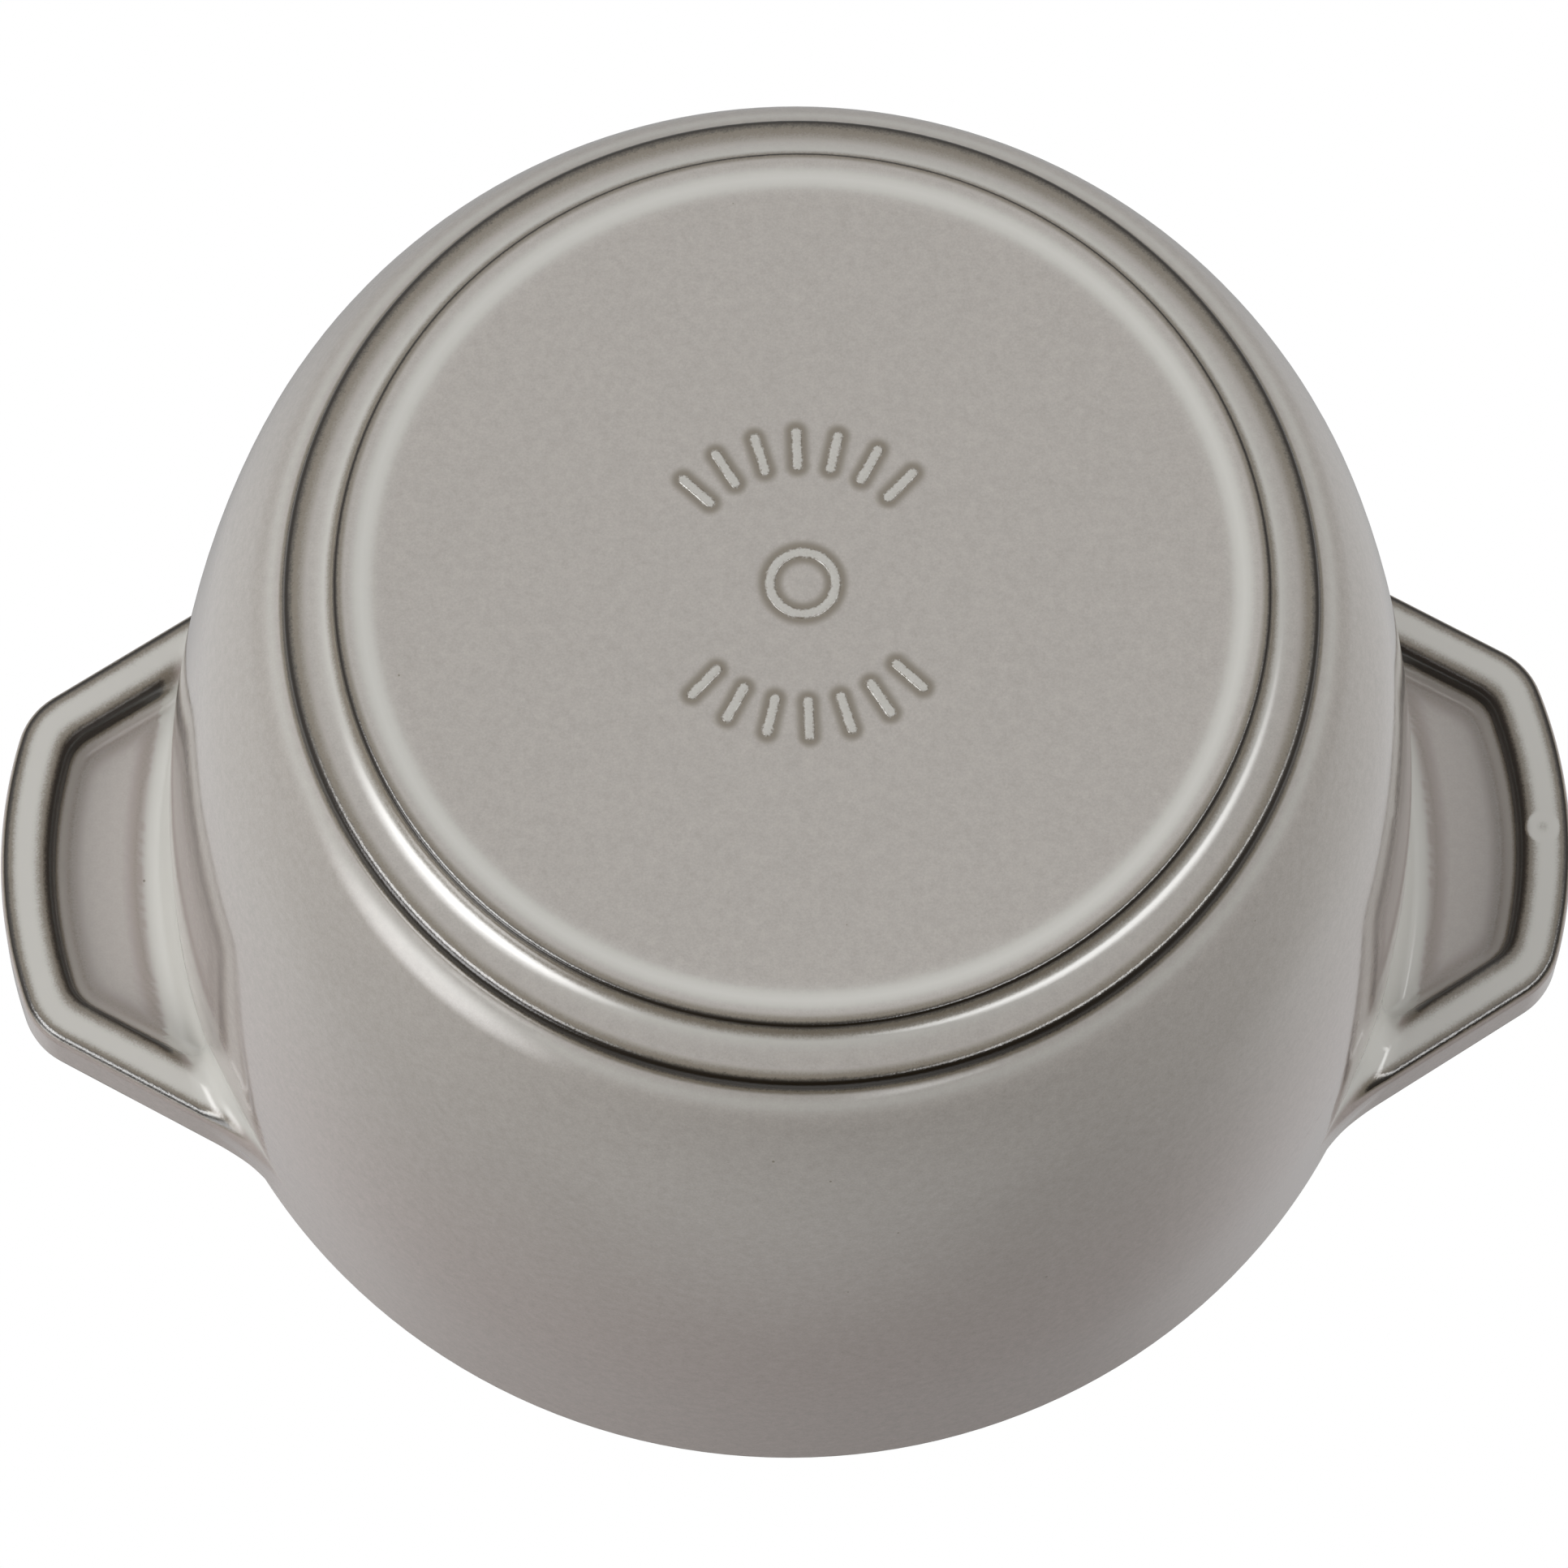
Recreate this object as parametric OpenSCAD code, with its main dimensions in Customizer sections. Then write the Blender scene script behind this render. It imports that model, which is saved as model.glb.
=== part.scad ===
// Round cast iron cocotte with a lift-off lid.
// Millimetres, +Z up. The origin is the centre of the foot, on the surface that the pot stands on.
// The two side handles lie along X and are part of the pot's casting.

/* [Pot] */
// Inside diameter of the mouth
mouth_d = 160; // [130:1:220]
// Height from the foot to the rim
pot_h = 111; // [95:1:140]
// Thickness of the side wall
wall_t = 4; // [3:0.1:6]
// Thickness of the casting from the foot to the cooking floor
floor_t = 6; // [4:0.1:9]
// Height of the straight stretch of wall under the rim
straight_h = 21; // [16:1:30]
// Radius of the long curve of the side wall
belly_r = 294; // [200:1:500]
// Height at which the side wall starts to turn in towards the base
heel_h = 30; // [24:1:40]
// Radius of the turn-in above the base
heel_r = 78; // [60:1:100]
// Radius of the round edge under the side wall
toe_r = 12; // [8:0.5:16]
// Radius between the cooking floor and the wall
floor_fillet = 18; // [10:0.5:24]
// Rounding of the rim's outer edge
rim_edge_r = 1.4; // [0.5:0.1:1.8]

/* [Foot] */
// Height of the flat foot above the shelf around it
foot_h = 2.2; // [1:0.1:2.6]
// Width of the shelf from the foot's edge to the ring's edge
shelf_w = 6.4; // [4:0.1:10]
// Height of the ring's edge above the table
ring_h = 3.9; // [3.2:0.1:5]
// Step from the ring's edge up to the side wall
ring_step = 1.9; // [1:0.1:2.6]
// Rounding of the foot's edge
foot_edge_r = 0.8; // [0.3:0.1:1]
// Rounding of the ring's edge
ring_edge_r = 1; // [0.3:0.1:1.4]

/* [Handles] */
// How far a handle stands out from the side wall
handle_reach = 23.6; // [18:0.1:32]
// Distance between a handle's two outer corners
handle_w = 46.4; // [36:0.1:60]
// Bulge of a handle's outer edge between its corners
handle_bow = 4.2; // [2:0.1:7]
// Angle of a handle's slanted sides from its outer edge
handle_slant = 59; // [45:1:70]
// Rounding of a handle's outer corners, seen from above
handle_corner_r = 10.5; // [8:0.5:13]
// Radius that flares a handle's sides into the wall
handle_flare_r = 40; // [6:0.5:50]
// Depth of the handle from its top to the bottom of its lip
handle_t = 9.5; // [8:0.1:12]
// Distance from the rim down to the top of a handle
handle_drop = 3.2; // [2.4:0.1:8]
// Rounding of a handle's outer edges
handle_edge_r = 1.5; // [0.8:0.1:3.6]
// Width of the lip around the finger pocket
lip_w = 6.8; // [5:0.1:8]
// Depth of the finger pocket under a handle
pocket_depth = 4.2; // [3:0.1:5]
// Rounding of the lip's inner edge
lip_edge_r = 1.4; // [0.6:0.1:1.6]
// Fillet around the finger pocket's floor
pocket_fillet = 2; // [1:0.1:2.2]
// Cove from the finger pocket's floor down the wall
pocket_cove_r = 4.4; // [2:0.1:6]

/* [Lid] */
// Thickness of the lid's casting
lid_t = 4; // [3:0.1:5]
// Distance of the lid's edge inside the pot's rim
lid_inset = 2; // [0.5:0.1:2.4]
// Height of the lid's outer edge
lid_edge_h = 4.8; // [4.5:0.1:8]
// Width of the flat ledge around the lid's top
ledge_w = 6.5; // [5:0.1:10]
// Height of the riser between the ledge and the crown
riser_h = 4.5; // [3:0.1:7]
// Horizontal run of the riser
riser_run = 4.5; // [3:0.1:7]
// Rise of the crown from the riser to the centre
crown_rise = 4; // [2:0.1:8]
// Depth of the spigot that centres the lid in the mouth
spigot_h = 4; // [2.5:0.1:6]
// Wall of the spigot
spigot_t = 3.5; // [2.5:0.1:5]
// Gap between the spigot and the mouth
spigot_gap = 0.8; // [0.4:0.1:1.5]
// Rings of basting nubs under the lid
nub_rings = 3; // [1:1:3]
// Spacing of the rings of nubs
nub_pitch = 17; // [14:0.5:18]
// Radius of one basting nub
nub_r = 3; // [2:0.1:4]

/* [Knob] */
// Diameter of the knob's head
knob_d = 36; // [28:0.5:44]
// Height of the knob
knob_h = 23; // [19:0.5:30]
// Diameter of the knob's neck
neck_d = 16; // [14:0.5:20]
// Thickness of the knob's head
knob_head_t = 9; // [7:0.5:11]
// Diameter of the knob's foot
knob_foot_d = 22; // [20:0.5:26]
// Thickness of the knob's foot
knob_foot_t = 2.4; // [1.6:0.1:3.5]
// Thread diameter of the screw
screw_d = 6; // [5:0.5:7]
// Length of the screw's thread inside the knob
screw_bite = 11; // [8:0.5:14]
// Diameter of the screw's head
screw_head_d = 11; // [10:0.5:13]
// Height of the screw's head
screw_head_h = 3.4; // [2.5:0.1:4.5]
// Thickness of the spring washer
washer_t = 1.5; // [1:0.1:2]

/* [Hidden] */
$fn = 96;
eps = 0.01;

// Side wall
mouth_r = mouth_d / 2;
pot_r = mouth_r + wall_t;
belly_z = pot_h - straight_h;
belly_c = [pot_r - belly_r, belly_z];
heel_a = asin((belly_z - heel_h) / belly_r);
heel_c = belly_c + (belly_r - heel_r) * [cos(heel_a), -sin(heel_a)];

// Base
toe_end_a = 58;
valley_z = ring_h + ring_step;
toe_cz = valley_z + toe_r * sin(toe_end_a);
toe_a = asin((heel_c[1] - toe_cz) / (heel_r - toe_r));
toe_c = [heel_c[0] + (heel_r - toe_r) * cos(toe_a), toe_cz];
valley_r = toe_c[0] + toe_r * cos(toe_end_a);
step_draft = 0.2;
ring_r = valley_r - ring_step * step_draft;
foot_r = ring_r - shelf_w;
shelf_fillet = 1.6;
valley_fillet = 1.2;

// Cavity
floor_a = asin((heel_c[1] - floor_t - floor_fillet) / (heel_r - wall_t - floor_fillet));
floor_c = [heel_c[0] + (heel_r - wall_t - floor_fillet) * cos(floor_a), floor_t + floor_fillet];
mouth_edge_r = 0.8;

// Handles
handle_top = pot_h - handle_drop;
handle_z = handle_top - handle_t;
handle_tip = pot_r + handle_reach;
handle_corner = [handle_tip - handle_bow, handle_w / 2];
bow_r = (handle_bow * handle_bow + handle_w * handle_w / 4) / (2 * handle_bow);
bow_c = [handle_tip - bow_r, 0];
side_u = [-sin(handle_slant), cos(handle_slant)];
side_n = [-cos(handle_slant), -sin(handle_slant)];
inner_corner_r = 6;
pocket_draft = 1;
roof_z = handle_z + pocket_depth;
lip_round = min(lip_edge_r, 0.4 * pocket_depth);
floor_round = min(pocket_fillet, 0.45 * pocket_depth);
flare_sink = 0.8;
root_r = pot_r - 0.45 * wall_t;
back_r = pot_r - 0.7 * wall_t;
overcut = 0.2;
cove_overlap = 1;
cove_backing = 1;
turn_step = 22.5;
side_steps = 8;

// Lid
lid_r = pot_r - lid_inset;
seat_z = pot_h;
ledge_z = seat_z + lid_edge_h;
crown_z = ledge_z + riser_h;
crown_r = lid_r - ledge_w - riser_run;
crown_arc_r = (crown_r * crown_r + crown_rise * crown_rise) / (2 * crown_rise);
spigot_r = mouth_r - spigot_gap;
lid_top_edge_r = 2.4;
lid_low_edge_r = 0.4;
riser_fillet = 3;
spigot_edge_r = 1;
boss_margin = 2;
boss_r = knob_foot_d / 2 + boss_margin;
boss_h = 1.2;
nub_margin = 10;
nub_sink = 0.2;
seat_top = crown_z + crown_rise + boss_h;
boss_under = crown_z + crown_rise - lid_t - boss_h;

// Knob and its screw
fit = 0.05;
hole_gap = 0.3;
hole_r = screw_d / 2 + hole_gap;
knob_bore_r = screw_d / 2 + fit;
bore_spare = 2;
knob_foot_slope = 2.4;
knob_flare = 4;
knob_brim = 2.4;
knob_dome = 0.2;
screw_chamfer = 0.8;
screw_dome = 1.6;
washer_margin = 0.3;
washer_r = screw_head_d / 2 + washer_margin;
washer_gap = 0.2;
washer_split = 1.2;
slot_w = 1.6;
slot_depth = 1.5;

function unit(v) = v / norm(v);

// Points of an arc about c, from angle a0 to a1 in n steps, left out up to the given first one
function arc(c, r, a0, a1, n, first = 0) =
    [for (i = [first:n]) let (a = a0 + (a1 - a0) * i / n) c + r * [cos(a), sin(a)]];

// The corner at q, coming from p and going to s, rounded to radius r as far as its two edges allow
function rounded(p, q, s, r, n = 6) =
    let (
        u = unit(p - q),
        v = unit(s - q),
        half = acos(max(-1, min(1, u * v))) / 2,
        reach = min(r / tan(half), 0.49 * min(norm(p - q), norm(s - q))),
        rr = reach * tan(half),
        c = q + unit(u + v) * rr / sin(half),
        d0 = q + u * reach - c,
        d1 = q + v * reach - c,
        a0 = atan2(d0[1], d0[0]),
        turn = atan2(d0[0] * d1[1] - d0[1] * d1[0], d0 * d1)
    )
    arc(c, rr, a0, a0 + turn, n);

// A path of corners [x, y, rounding], with each rounded corner drawn as an arc
function soft_path(corners) =
    let (
        n = len(corners),
        xy = [for (k = corners) [k[0], k[1]]]
    )
    [for (i = [0:n - 1])
        let (r = corners[i][2])
        each r > 0 ? rounded(xy[(i + n - 1) % n], xy[i], xy[(i + 1) % n], r) : [xy[i]]];

// Outside of the pot, from the foot's centre to the rim
function pot_outside() =
    let (
        foot = [foot_r, 0],
        shelf = [foot_r + foot_h * step_draft, foot_h],
        ring = [ring_r, ring_h],
        valley = [valley_r, valley_z],
        up_toe = valley + toe_r * [sin(toe_end_a), cos(toe_end_a)]
    )
    concat(
        [[0, 0]],
        rounded([0, 0], foot, shelf, foot_edge_r),
        rounded(foot, shelf, ring, shelf_fillet),
        rounded(shelf, ring, valley, ring_edge_r),
        rounded(ring, valley, up_toe, valley_fillet),
        arc(toe_c, toe_r, -toe_end_a, -toe_a, 10, 2),
        arc(heel_c, heel_r, -toe_a, -heel_a, 10, 1),
        arc(belly_c, belly_r, -heel_a, 0, 16, 1),
        rounded([pot_r, belly_z], [pot_r, pot_h], [mouth_r, pot_h], rim_edge_r),
        [[0, pot_h]]
    );

// Inside of the pot, from the floor's centre to above the rim
function pot_inside() =
    concat(
        [[0, floor_t]],
        arc(floor_c, floor_fillet, -90, -floor_a, 12),
        arc(heel_c, heel_r - wall_t, -floor_a, -heel_a, 8, 1),
        arc(belly_c, belly_r - wall_t, -heel_a, 0, 16, 1),
        [[mouth_r, pot_h - mouth_edge_r], [mouth_r + mouth_edge_r, pot_h + eps], [0, pot_h + eps]]
    );

// Centre of a circle of radius r that touches a handle's side and its bow from inside, d inside the outline
function corner_centre(d, r) =
    let (
        on_side = handle_corner + (d + r) * side_n,
        rel = on_side - bow_c,
        b = rel * side_u,
        c = rel * rel - pow(bow_r - d - r, 2)
    )
    on_side - (b + sqrt(b * b - c)) * side_u;

// Centre of a circle on the line start + s * side_u that lies at distance r from the pot's axis
function on_wall_circle(start, r) =
    let (
        b = start * side_u,
        c = start * start - r * r
    )
    start - (b + sqrt(b * b - c)) * side_u;

// Outer edge of a handle, d inside its outline, from the middle of the bow round the corner to the side
function handle_edge(d) =
    let (
        r = max(handle_corner_r - d, inner_corner_r),
        c = corner_centre(d, r),
        bow_a = atan2(c[1], c[0] - bow_c[0])
    )
    concat(arc(bow_c, bow_r - d, 0, bow_a, 6), arc(c, r, bow_a, handle_slant, 6, 1));

// Half of a handle's outline, d inside it: bow, corner, side, flare into the wall, and back inside the wall
function handle_half(d) =
    let (
        flare_line = handle_corner - handle_flare_r * side_n,
        flare_c = on_wall_circle(flare_line, pot_r - flare_sink + handle_flare_r),
        wall_a = angle_of(flare_c),
        flare = arc(flare_c, handle_flare_r + d, handle_slant - 180, wall_a - 180, side_steps),
        side_end = on_wall_circle(handle_corner + d * side_n, root_r),
        in_wall = arc([0, 0], root_r, angle_of(side_end), wall_a, side_steps),
        front = concat(handle_edge(d), norm(flare[0]) > root_r ? [for (p = flare) out_of_root(p)] : in_wall),
        n = len(front)
    )
    concat(front, [for (i = [n - 1:-1:0]) polar(back_r, angle_of(front[i]))]);

function polar(r, a) = r * [cos(a), sin(a)];

function angle_of(p) = atan2(p[1], p[0]);

// A point of a handle that would lie too deep in the wall, moved out along its radius
function out_of_root(p) = norm(p) < root_r ? polar(root_r, angle_of(p)) : p;

// A whole outline at height z from its half: the half with y above 0, then its mirror image
function whole(half, z) =
    let (n = len(half))
    concat(
        [for (p = half) [p[0], p[1], z]],
        [for (i = [n - 2:-1:1]) [half[i][0], -half[i][1], z]]
    );

// Faces across the outline whose first point has index at, in strips from its front to its back
function strips(half, at) =
    let (
        n = 2 * half - 2,
        last = half / 2 - 2
    )
    [for (k = [0:last], side = [0, 1])
        let (f = [k, k + 1, half - 2 - k, half - 1 - k])
        side == 0 ? [for (i = f) at + i] : [for (i = [3:-1:0]) at + (n - f[i]) % n]];

// A solid through whole outlines of the given half length, whose first face looks down and last one up
module loft(outlines, half) {
    n = len(outlines[0]);
    top = len(outlines) - 1;
    polyhedron(
        points = [for (o = outlines) each o],
        faces = concat(
            strips(half, 0),
            [for (f = strips(half, top * n)) [f[3], f[2], f[1], f[0]]],
            [for (k = [0:top - 1], i = [0:n - 1]) [k * n + i, (k + 1) * n + i, (k + 1) * n + (i + 1) % n]],
            [for (k = [0:top - 1], i = [0:n - 1]) [k * n + i, (k + 1) * n + (i + 1) % n, k * n + (i + 1) % n]]
        )
    );
}

// Levels [inset, height] of the finger pocket, from its floor's fillet down to the lip's rounded inner edge
function pocket_levels() =
    concat(
        [for (a = [90:-turn_step:0])
            [lip_w + pocket_draft + floor_round * (1 - cos(a)), roof_z - floor_round * (1 - sin(a))]],
        [for (a = [90:-turn_step:0])
            [lip_w - lip_round * (1 - sin(a)), handle_z + lip_round * (1 - cos(a))]]
    );

// Levels [inset, height] of the tab, from the lip's rounded outer edge to the rounded edge of its top
function tab_levels() =
    let (r = handle_edge_r)
    concat(
        [for (a = [0:turn_step:90]) [r * (1 - sin(a)), handle_z + r * (1 - cos(a))]],
        [for (a = [90:-turn_step:0]) [r * (1 - sin(a)), handle_top - r * (1 - cos(a))]]
    );

// Cove from the finger pocket's floor down the wall, whose ends lie inside the lip
module pocket_cove() {
    r = pocket_cove_r;
    span = angle_of(on_wall_circle(handle_corner + (lip_w - lip_round) * side_n, pot_r)) + cove_overlap;
    c = [pot_r + r - overcut, roof_z - r + overcut];
    rotate([0, 0, -span]) rotate_extrude(angle = 2 * span)
        polygon(concat(
            arc(c, r, 180, 90, 6),
            [[c[0], roof_z + cove_backing], [root_r, roof_z + cove_backing], [root_r, c[1]]]
        ));
}

module handle() {
    levels = concat(pocket_levels(), tab_levels());
    loft([for (v = levels) whole(handle_half(v[0]), v[1])], len(handle_half(0)));
    pocket_cove();
}

module pot() {
    color("darkgray") difference() {
        union() {
            rotate_extrude() polygon(pot_outside());
            handle();
            rotate([0, 0, 180]) handle();
        }
        rotate_extrude() polygon(pot_inside());
    }
}

// Section of the lid, from the centre of its underside out over the spigot and back over the top
function lid_section() =
    let (
        crown_c = [0, crown_z + crown_rise - crown_arc_r],
        riser_n = unit([-riser_h, -riser_run]),
        low = [crown_r, crown_z] + lid_t * riser_n,
        spigot_in = spigot_r - spigot_t,
        spigot_z = seat_z - spigot_h,
        low_z = low[1] - (spigot_in - low[0]) * riser_h / riser_run,
        hollow_r = low[0] - riser_fillet,
        under_r = crown_arc_r - lid_t,
        under_z = crown_c[1] + sqrt(under_r * under_r - low[0] * low[0]),
        under = [low[0] + (low[1] - under_z) * riser_run / riser_h, under_z],
        boss_a = asin(boss_r / under_r),
        rim_a = asin(hollow_r / under_r),
        top_boss_a = asin(boss_r / crown_arc_r),
        top_rim_a = asin((crown_r - riser_fillet) / crown_arc_r),
        ledge = [crown_r + riser_run, ledge_z]
    )
    concat(
        [[0, boss_under], [boss_r - boss_h, boss_under]],
        arc(crown_c, under_r, 90 - boss_a, 90 - rim_a, 12),
        rounded([0, under_z], under, [spigot_in, low_z], riser_fillet),
        rounded(under, [spigot_in, low_z], [spigot_in, spigot_z], riser_fillet / 2),
        rounded([spigot_in, seat_z], [spigot_in, spigot_z], [spigot_r, spigot_z], spigot_edge_r),
        rounded([spigot_in, spigot_z], [spigot_r, spigot_z], [spigot_r, seat_z], spigot_edge_r),
        [[spigot_r, seat_z]],
        rounded([spigot_r, seat_z], [lid_r, seat_z], [lid_r, ledge_z], lid_low_edge_r),
        rounded([lid_r, seat_z], [lid_r, ledge_z], ledge, lid_top_edge_r),
        rounded([lid_r, ledge_z], ledge, [crown_r, crown_z], riser_fillet),
        rounded(ledge, [crown_r, crown_z], [0, crown_z + crown_rise], riser_fillet),
        arc(crown_c, crown_arc_r, 90 - top_rim_a, 90 - top_boss_a, 12),
        [[boss_r - boss_h, seat_top], [0, seat_top]]
    );

// Basting nubs in rings under the lid
module nubs() {
    step = min(nub_pitch, (crown_r - nub_margin) / nub_rings);
    sink = nub_sink * nub_r;
    for (k = [1:nub_rings])
        for (i = [0:6 * k - 1])
            rotate([0, 0, 60 * i / k])
                translate([step * k, 0, under_z(step * k) + sink])
                    sphere(nub_r, $fn = 32);
}

// Height of the lid's underside at distance r from its centre
function under_z(r) = crown_z + crown_rise - crown_arc_r + sqrt(pow(crown_arc_r - lid_t, 2) - r * r);

module lid() {
    color("dimgray") difference() {
        union() {
            rotate_extrude() polygon(lid_section());
            nubs();
        }
        translate([0, 0, boss_under - eps])
            cylinder(r = hole_r, h = seat_top - boss_under + 2 * eps);
    }
}

// Section of the knob: foot, hollow neck, wide head and a slightly domed top
function knob_section() =
    let (
        head_r = knob_d / 2,
        neck_r = neck_d / 2,
        foot_edge = knob_foot_d / 2,
        top = seat_top + knob_h,
        foot_top = seat_top + knob_foot_t,
        neck_low = foot_top + knob_foot_slope,
        brim_z = top - knob_head_t,
        neck_high = brim_z - knob_flare,
        side_low = brim_z + knob_brim,
        side_high = top - knob_brim
    )
    soft_path([
        [0, seat_top, 0],
        [foot_edge, seat_top, 0.4],
        [foot_edge, foot_top, 1],
        [neck_r, neck_low, 2],
        [neck_r, neck_high, knob_flare],
        [head_r - knob_brim, brim_z, knob_brim],
        [head_r, side_low, knob_brim],
        [head_r - knob_brim / 2, side_high, knob_brim],
        [head_r / 2, top - knob_dome, knob_d / 3],
        [0, top, 0]
    ]);

module knob() {
    color("silver") difference() {
        rotate_extrude() polygon(knob_section());
        translate([0, 0, seat_top - eps])
            cylinder(r = knob_bore_r, h = screw_bite + bore_spare);
    }
}

module knob_screw() {
    head_top = boss_under - washer_t;
    head_low = head_top - screw_head_h;
    head_r = screw_head_d / 2;
    tip = seat_top + screw_bite;
    color("gainsboro") difference() {
        rotate_extrude()
            polygon(soft_path([
                [0, head_low, 0],
                [head_r, head_low, screw_dome],
                [head_r, head_top, 0],
                [screw_d / 2, head_top, 0],
                [screw_d / 2, tip - screw_chamfer, 0],
                [screw_d / 2 - screw_chamfer, tip, 0],
                [0, tip, 0]
            ]));
        translate([-head_r, -slot_w / 2, head_low - eps])
            cube([2 * head_r, slot_w, slot_depth]);
    }
}

module spring_washer() {
    color("lightgray") translate([0, 0, boss_under - washer_t])
        difference() {
            cylinder(r = washer_r, h = washer_t);
            translate([0, 0, -eps])
                cylinder(r = screw_d / 2 + washer_gap, h = washer_t + 2 * eps);
            translate([0, -washer_split / 2, -eps])
                cube([washer_r + eps, washer_split, washer_t + 2 * eps]);
        }
}

pot();
lid();
knob();
knob_screw();
spring_washer();
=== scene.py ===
"""Round enamelled cast iron cocotte: its pot, lid, knob and fixing, made around the packed CAD model."""

import math

import bpy
import numpy as np
from mathutils import Matrix, Vector


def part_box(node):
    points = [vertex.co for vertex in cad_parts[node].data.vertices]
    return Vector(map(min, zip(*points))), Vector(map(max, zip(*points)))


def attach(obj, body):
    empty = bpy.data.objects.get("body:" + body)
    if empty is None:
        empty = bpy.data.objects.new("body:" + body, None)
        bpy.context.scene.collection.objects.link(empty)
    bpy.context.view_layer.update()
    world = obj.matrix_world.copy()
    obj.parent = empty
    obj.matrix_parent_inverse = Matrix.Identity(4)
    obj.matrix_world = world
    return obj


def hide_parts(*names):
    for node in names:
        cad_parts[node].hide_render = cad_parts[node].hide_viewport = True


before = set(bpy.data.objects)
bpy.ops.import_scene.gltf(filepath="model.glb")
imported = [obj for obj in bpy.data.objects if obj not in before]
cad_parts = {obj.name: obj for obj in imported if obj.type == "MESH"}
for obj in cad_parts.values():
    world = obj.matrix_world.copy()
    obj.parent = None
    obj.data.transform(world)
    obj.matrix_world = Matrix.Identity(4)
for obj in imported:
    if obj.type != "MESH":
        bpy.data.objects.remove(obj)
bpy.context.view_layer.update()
POT_LOW, POT_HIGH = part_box("pot")
KNOB_LOW, KNOB_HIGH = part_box("knob")

bl_info = {
    "name": "Enamelled Cocotte",
    "version": (1, 0, 0),
    "blender": (4, 5, 0),
    "location": "View3D > Sidebar > Cocotte",
    "description": "Builds a round enamelled cast iron cocotte with its lid and knob",
    "category": "Add Mesh",
}

MM = 0.001
BODY_RADIUS = 0.084
COLUMNS = 180


# Sizes and colours that a user would change

class CocottePotSizes(bpy.types.PropertyGroup):
    """Sizes of the pot's round body"""

    mouth_radius: bpy.props.FloatProperty(
        name="Mouth radius", description="Inside radius of the pot's mouth",
        default=0.080, subtype="DISTANCE", unit="LENGTH")
    height: bpy.props.FloatProperty(
        name="Height", description="Height from the foot to the rim",
        default=POT_HIGH.z - POT_LOW.z, subtype="DISTANCE", unit="LENGTH")
    wall: bpy.props.FloatProperty(
        name="Wall", description="Thickness of the side wall",
        default=0.004, subtype="DISTANCE", unit="LENGTH")
    floor: bpy.props.FloatProperty(
        name="Floor", description="Thickness from the foot to the cooking floor",
        default=0.006, subtype="DISTANCE", unit="LENGTH")
    dish: bpy.props.FloatProperty(
        name="Dish", description="Depth of the shallow dish in the middle of the foot",
        default=0.00045, subtype="DISTANCE", unit="LENGTH")


class CocotteHandleSizes(bpy.types.PropertyGroup):
    """Sizes of the two side handles"""

    reach: bpy.props.FloatProperty(
        name="Reach", description="How far a handle stands out from the side wall",
        default=POT_HIGH.x - BODY_RADIUS, subtype="DISTANCE", unit="LENGTH")
    width: bpy.props.FloatProperty(
        name="Width", description="Distance between a handle's two outer corners",
        default=0.0464, subtype="DISTANCE", unit="LENGTH")
    depth: bpy.props.FloatProperty(
        name="Depth", description="Depth from a handle's top to the bottom of its lip",
        default=0.0095, subtype="DISTANCE", unit="LENGTH")
    drop: bpy.props.FloatProperty(
        name="Drop", description="Distance from the rim down to a handle's top",
        default=0.0032, subtype="DISTANCE", unit="LENGTH")
    lip: bpy.props.FloatProperty(
        name="Lip", description="Width of the lip around the finger pocket",
        default=0.0068, subtype="DISTANCE", unit="LENGTH")
    pocket: bpy.props.FloatProperty(
        name="Pocket", description="Depth of the finger pocket",
        default=0.0042, subtype="DISTANCE", unit="LENGTH")
    cove: bpy.props.FloatProperty(
        name="Cove", description="Radius of the cove between a handle's underside and the wall",
        default=0.0045, subtype="DISTANCE", unit="LENGTH")


class CocotteLidSizes(bpy.types.PropertyGroup):
    """Sizes of the lid, its knob and its fixing"""

    radius: bpy.props.FloatProperty(
        name="Radius", description="Radius of the lid's edge",
        default=0.082, subtype="DISTANCE", unit="LENGTH")
    thickness: bpy.props.FloatProperty(
        name="Thickness", description="Thickness of the lid's casting",
        default=0.004, subtype="DISTANCE", unit="LENGTH")
    crown_rise: bpy.props.FloatProperty(
        name="Crown rise", description="Rise of the lid's crown to its centre",
        default=0.004, subtype="DISTANCE", unit="LENGTH")
    nub_radius: bpy.props.FloatProperty(
        name="Nub radius", description="Radius of one basting nub under the lid",
        default=0.003, subtype="DISTANCE", unit="LENGTH")
    nub_pitch: bpy.props.FloatProperty(
        name="Nub pitch", description="Distance between the rings of basting nubs",
        default=0.017, subtype="DISTANCE", unit="LENGTH")
    knob_radius: bpy.props.FloatProperty(
        name="Knob radius", description="Radius of the knob's head before its edge is rounded",
        default=0.018, subtype="DISTANCE", unit="LENGTH")
    knob_height: bpy.props.FloatProperty(
        name="Knob height", description="Height of the knob above the lid",
        default=KNOB_HIGH.z - KNOB_LOW.z, subtype="DISTANCE", unit="LENGTH")


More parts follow.
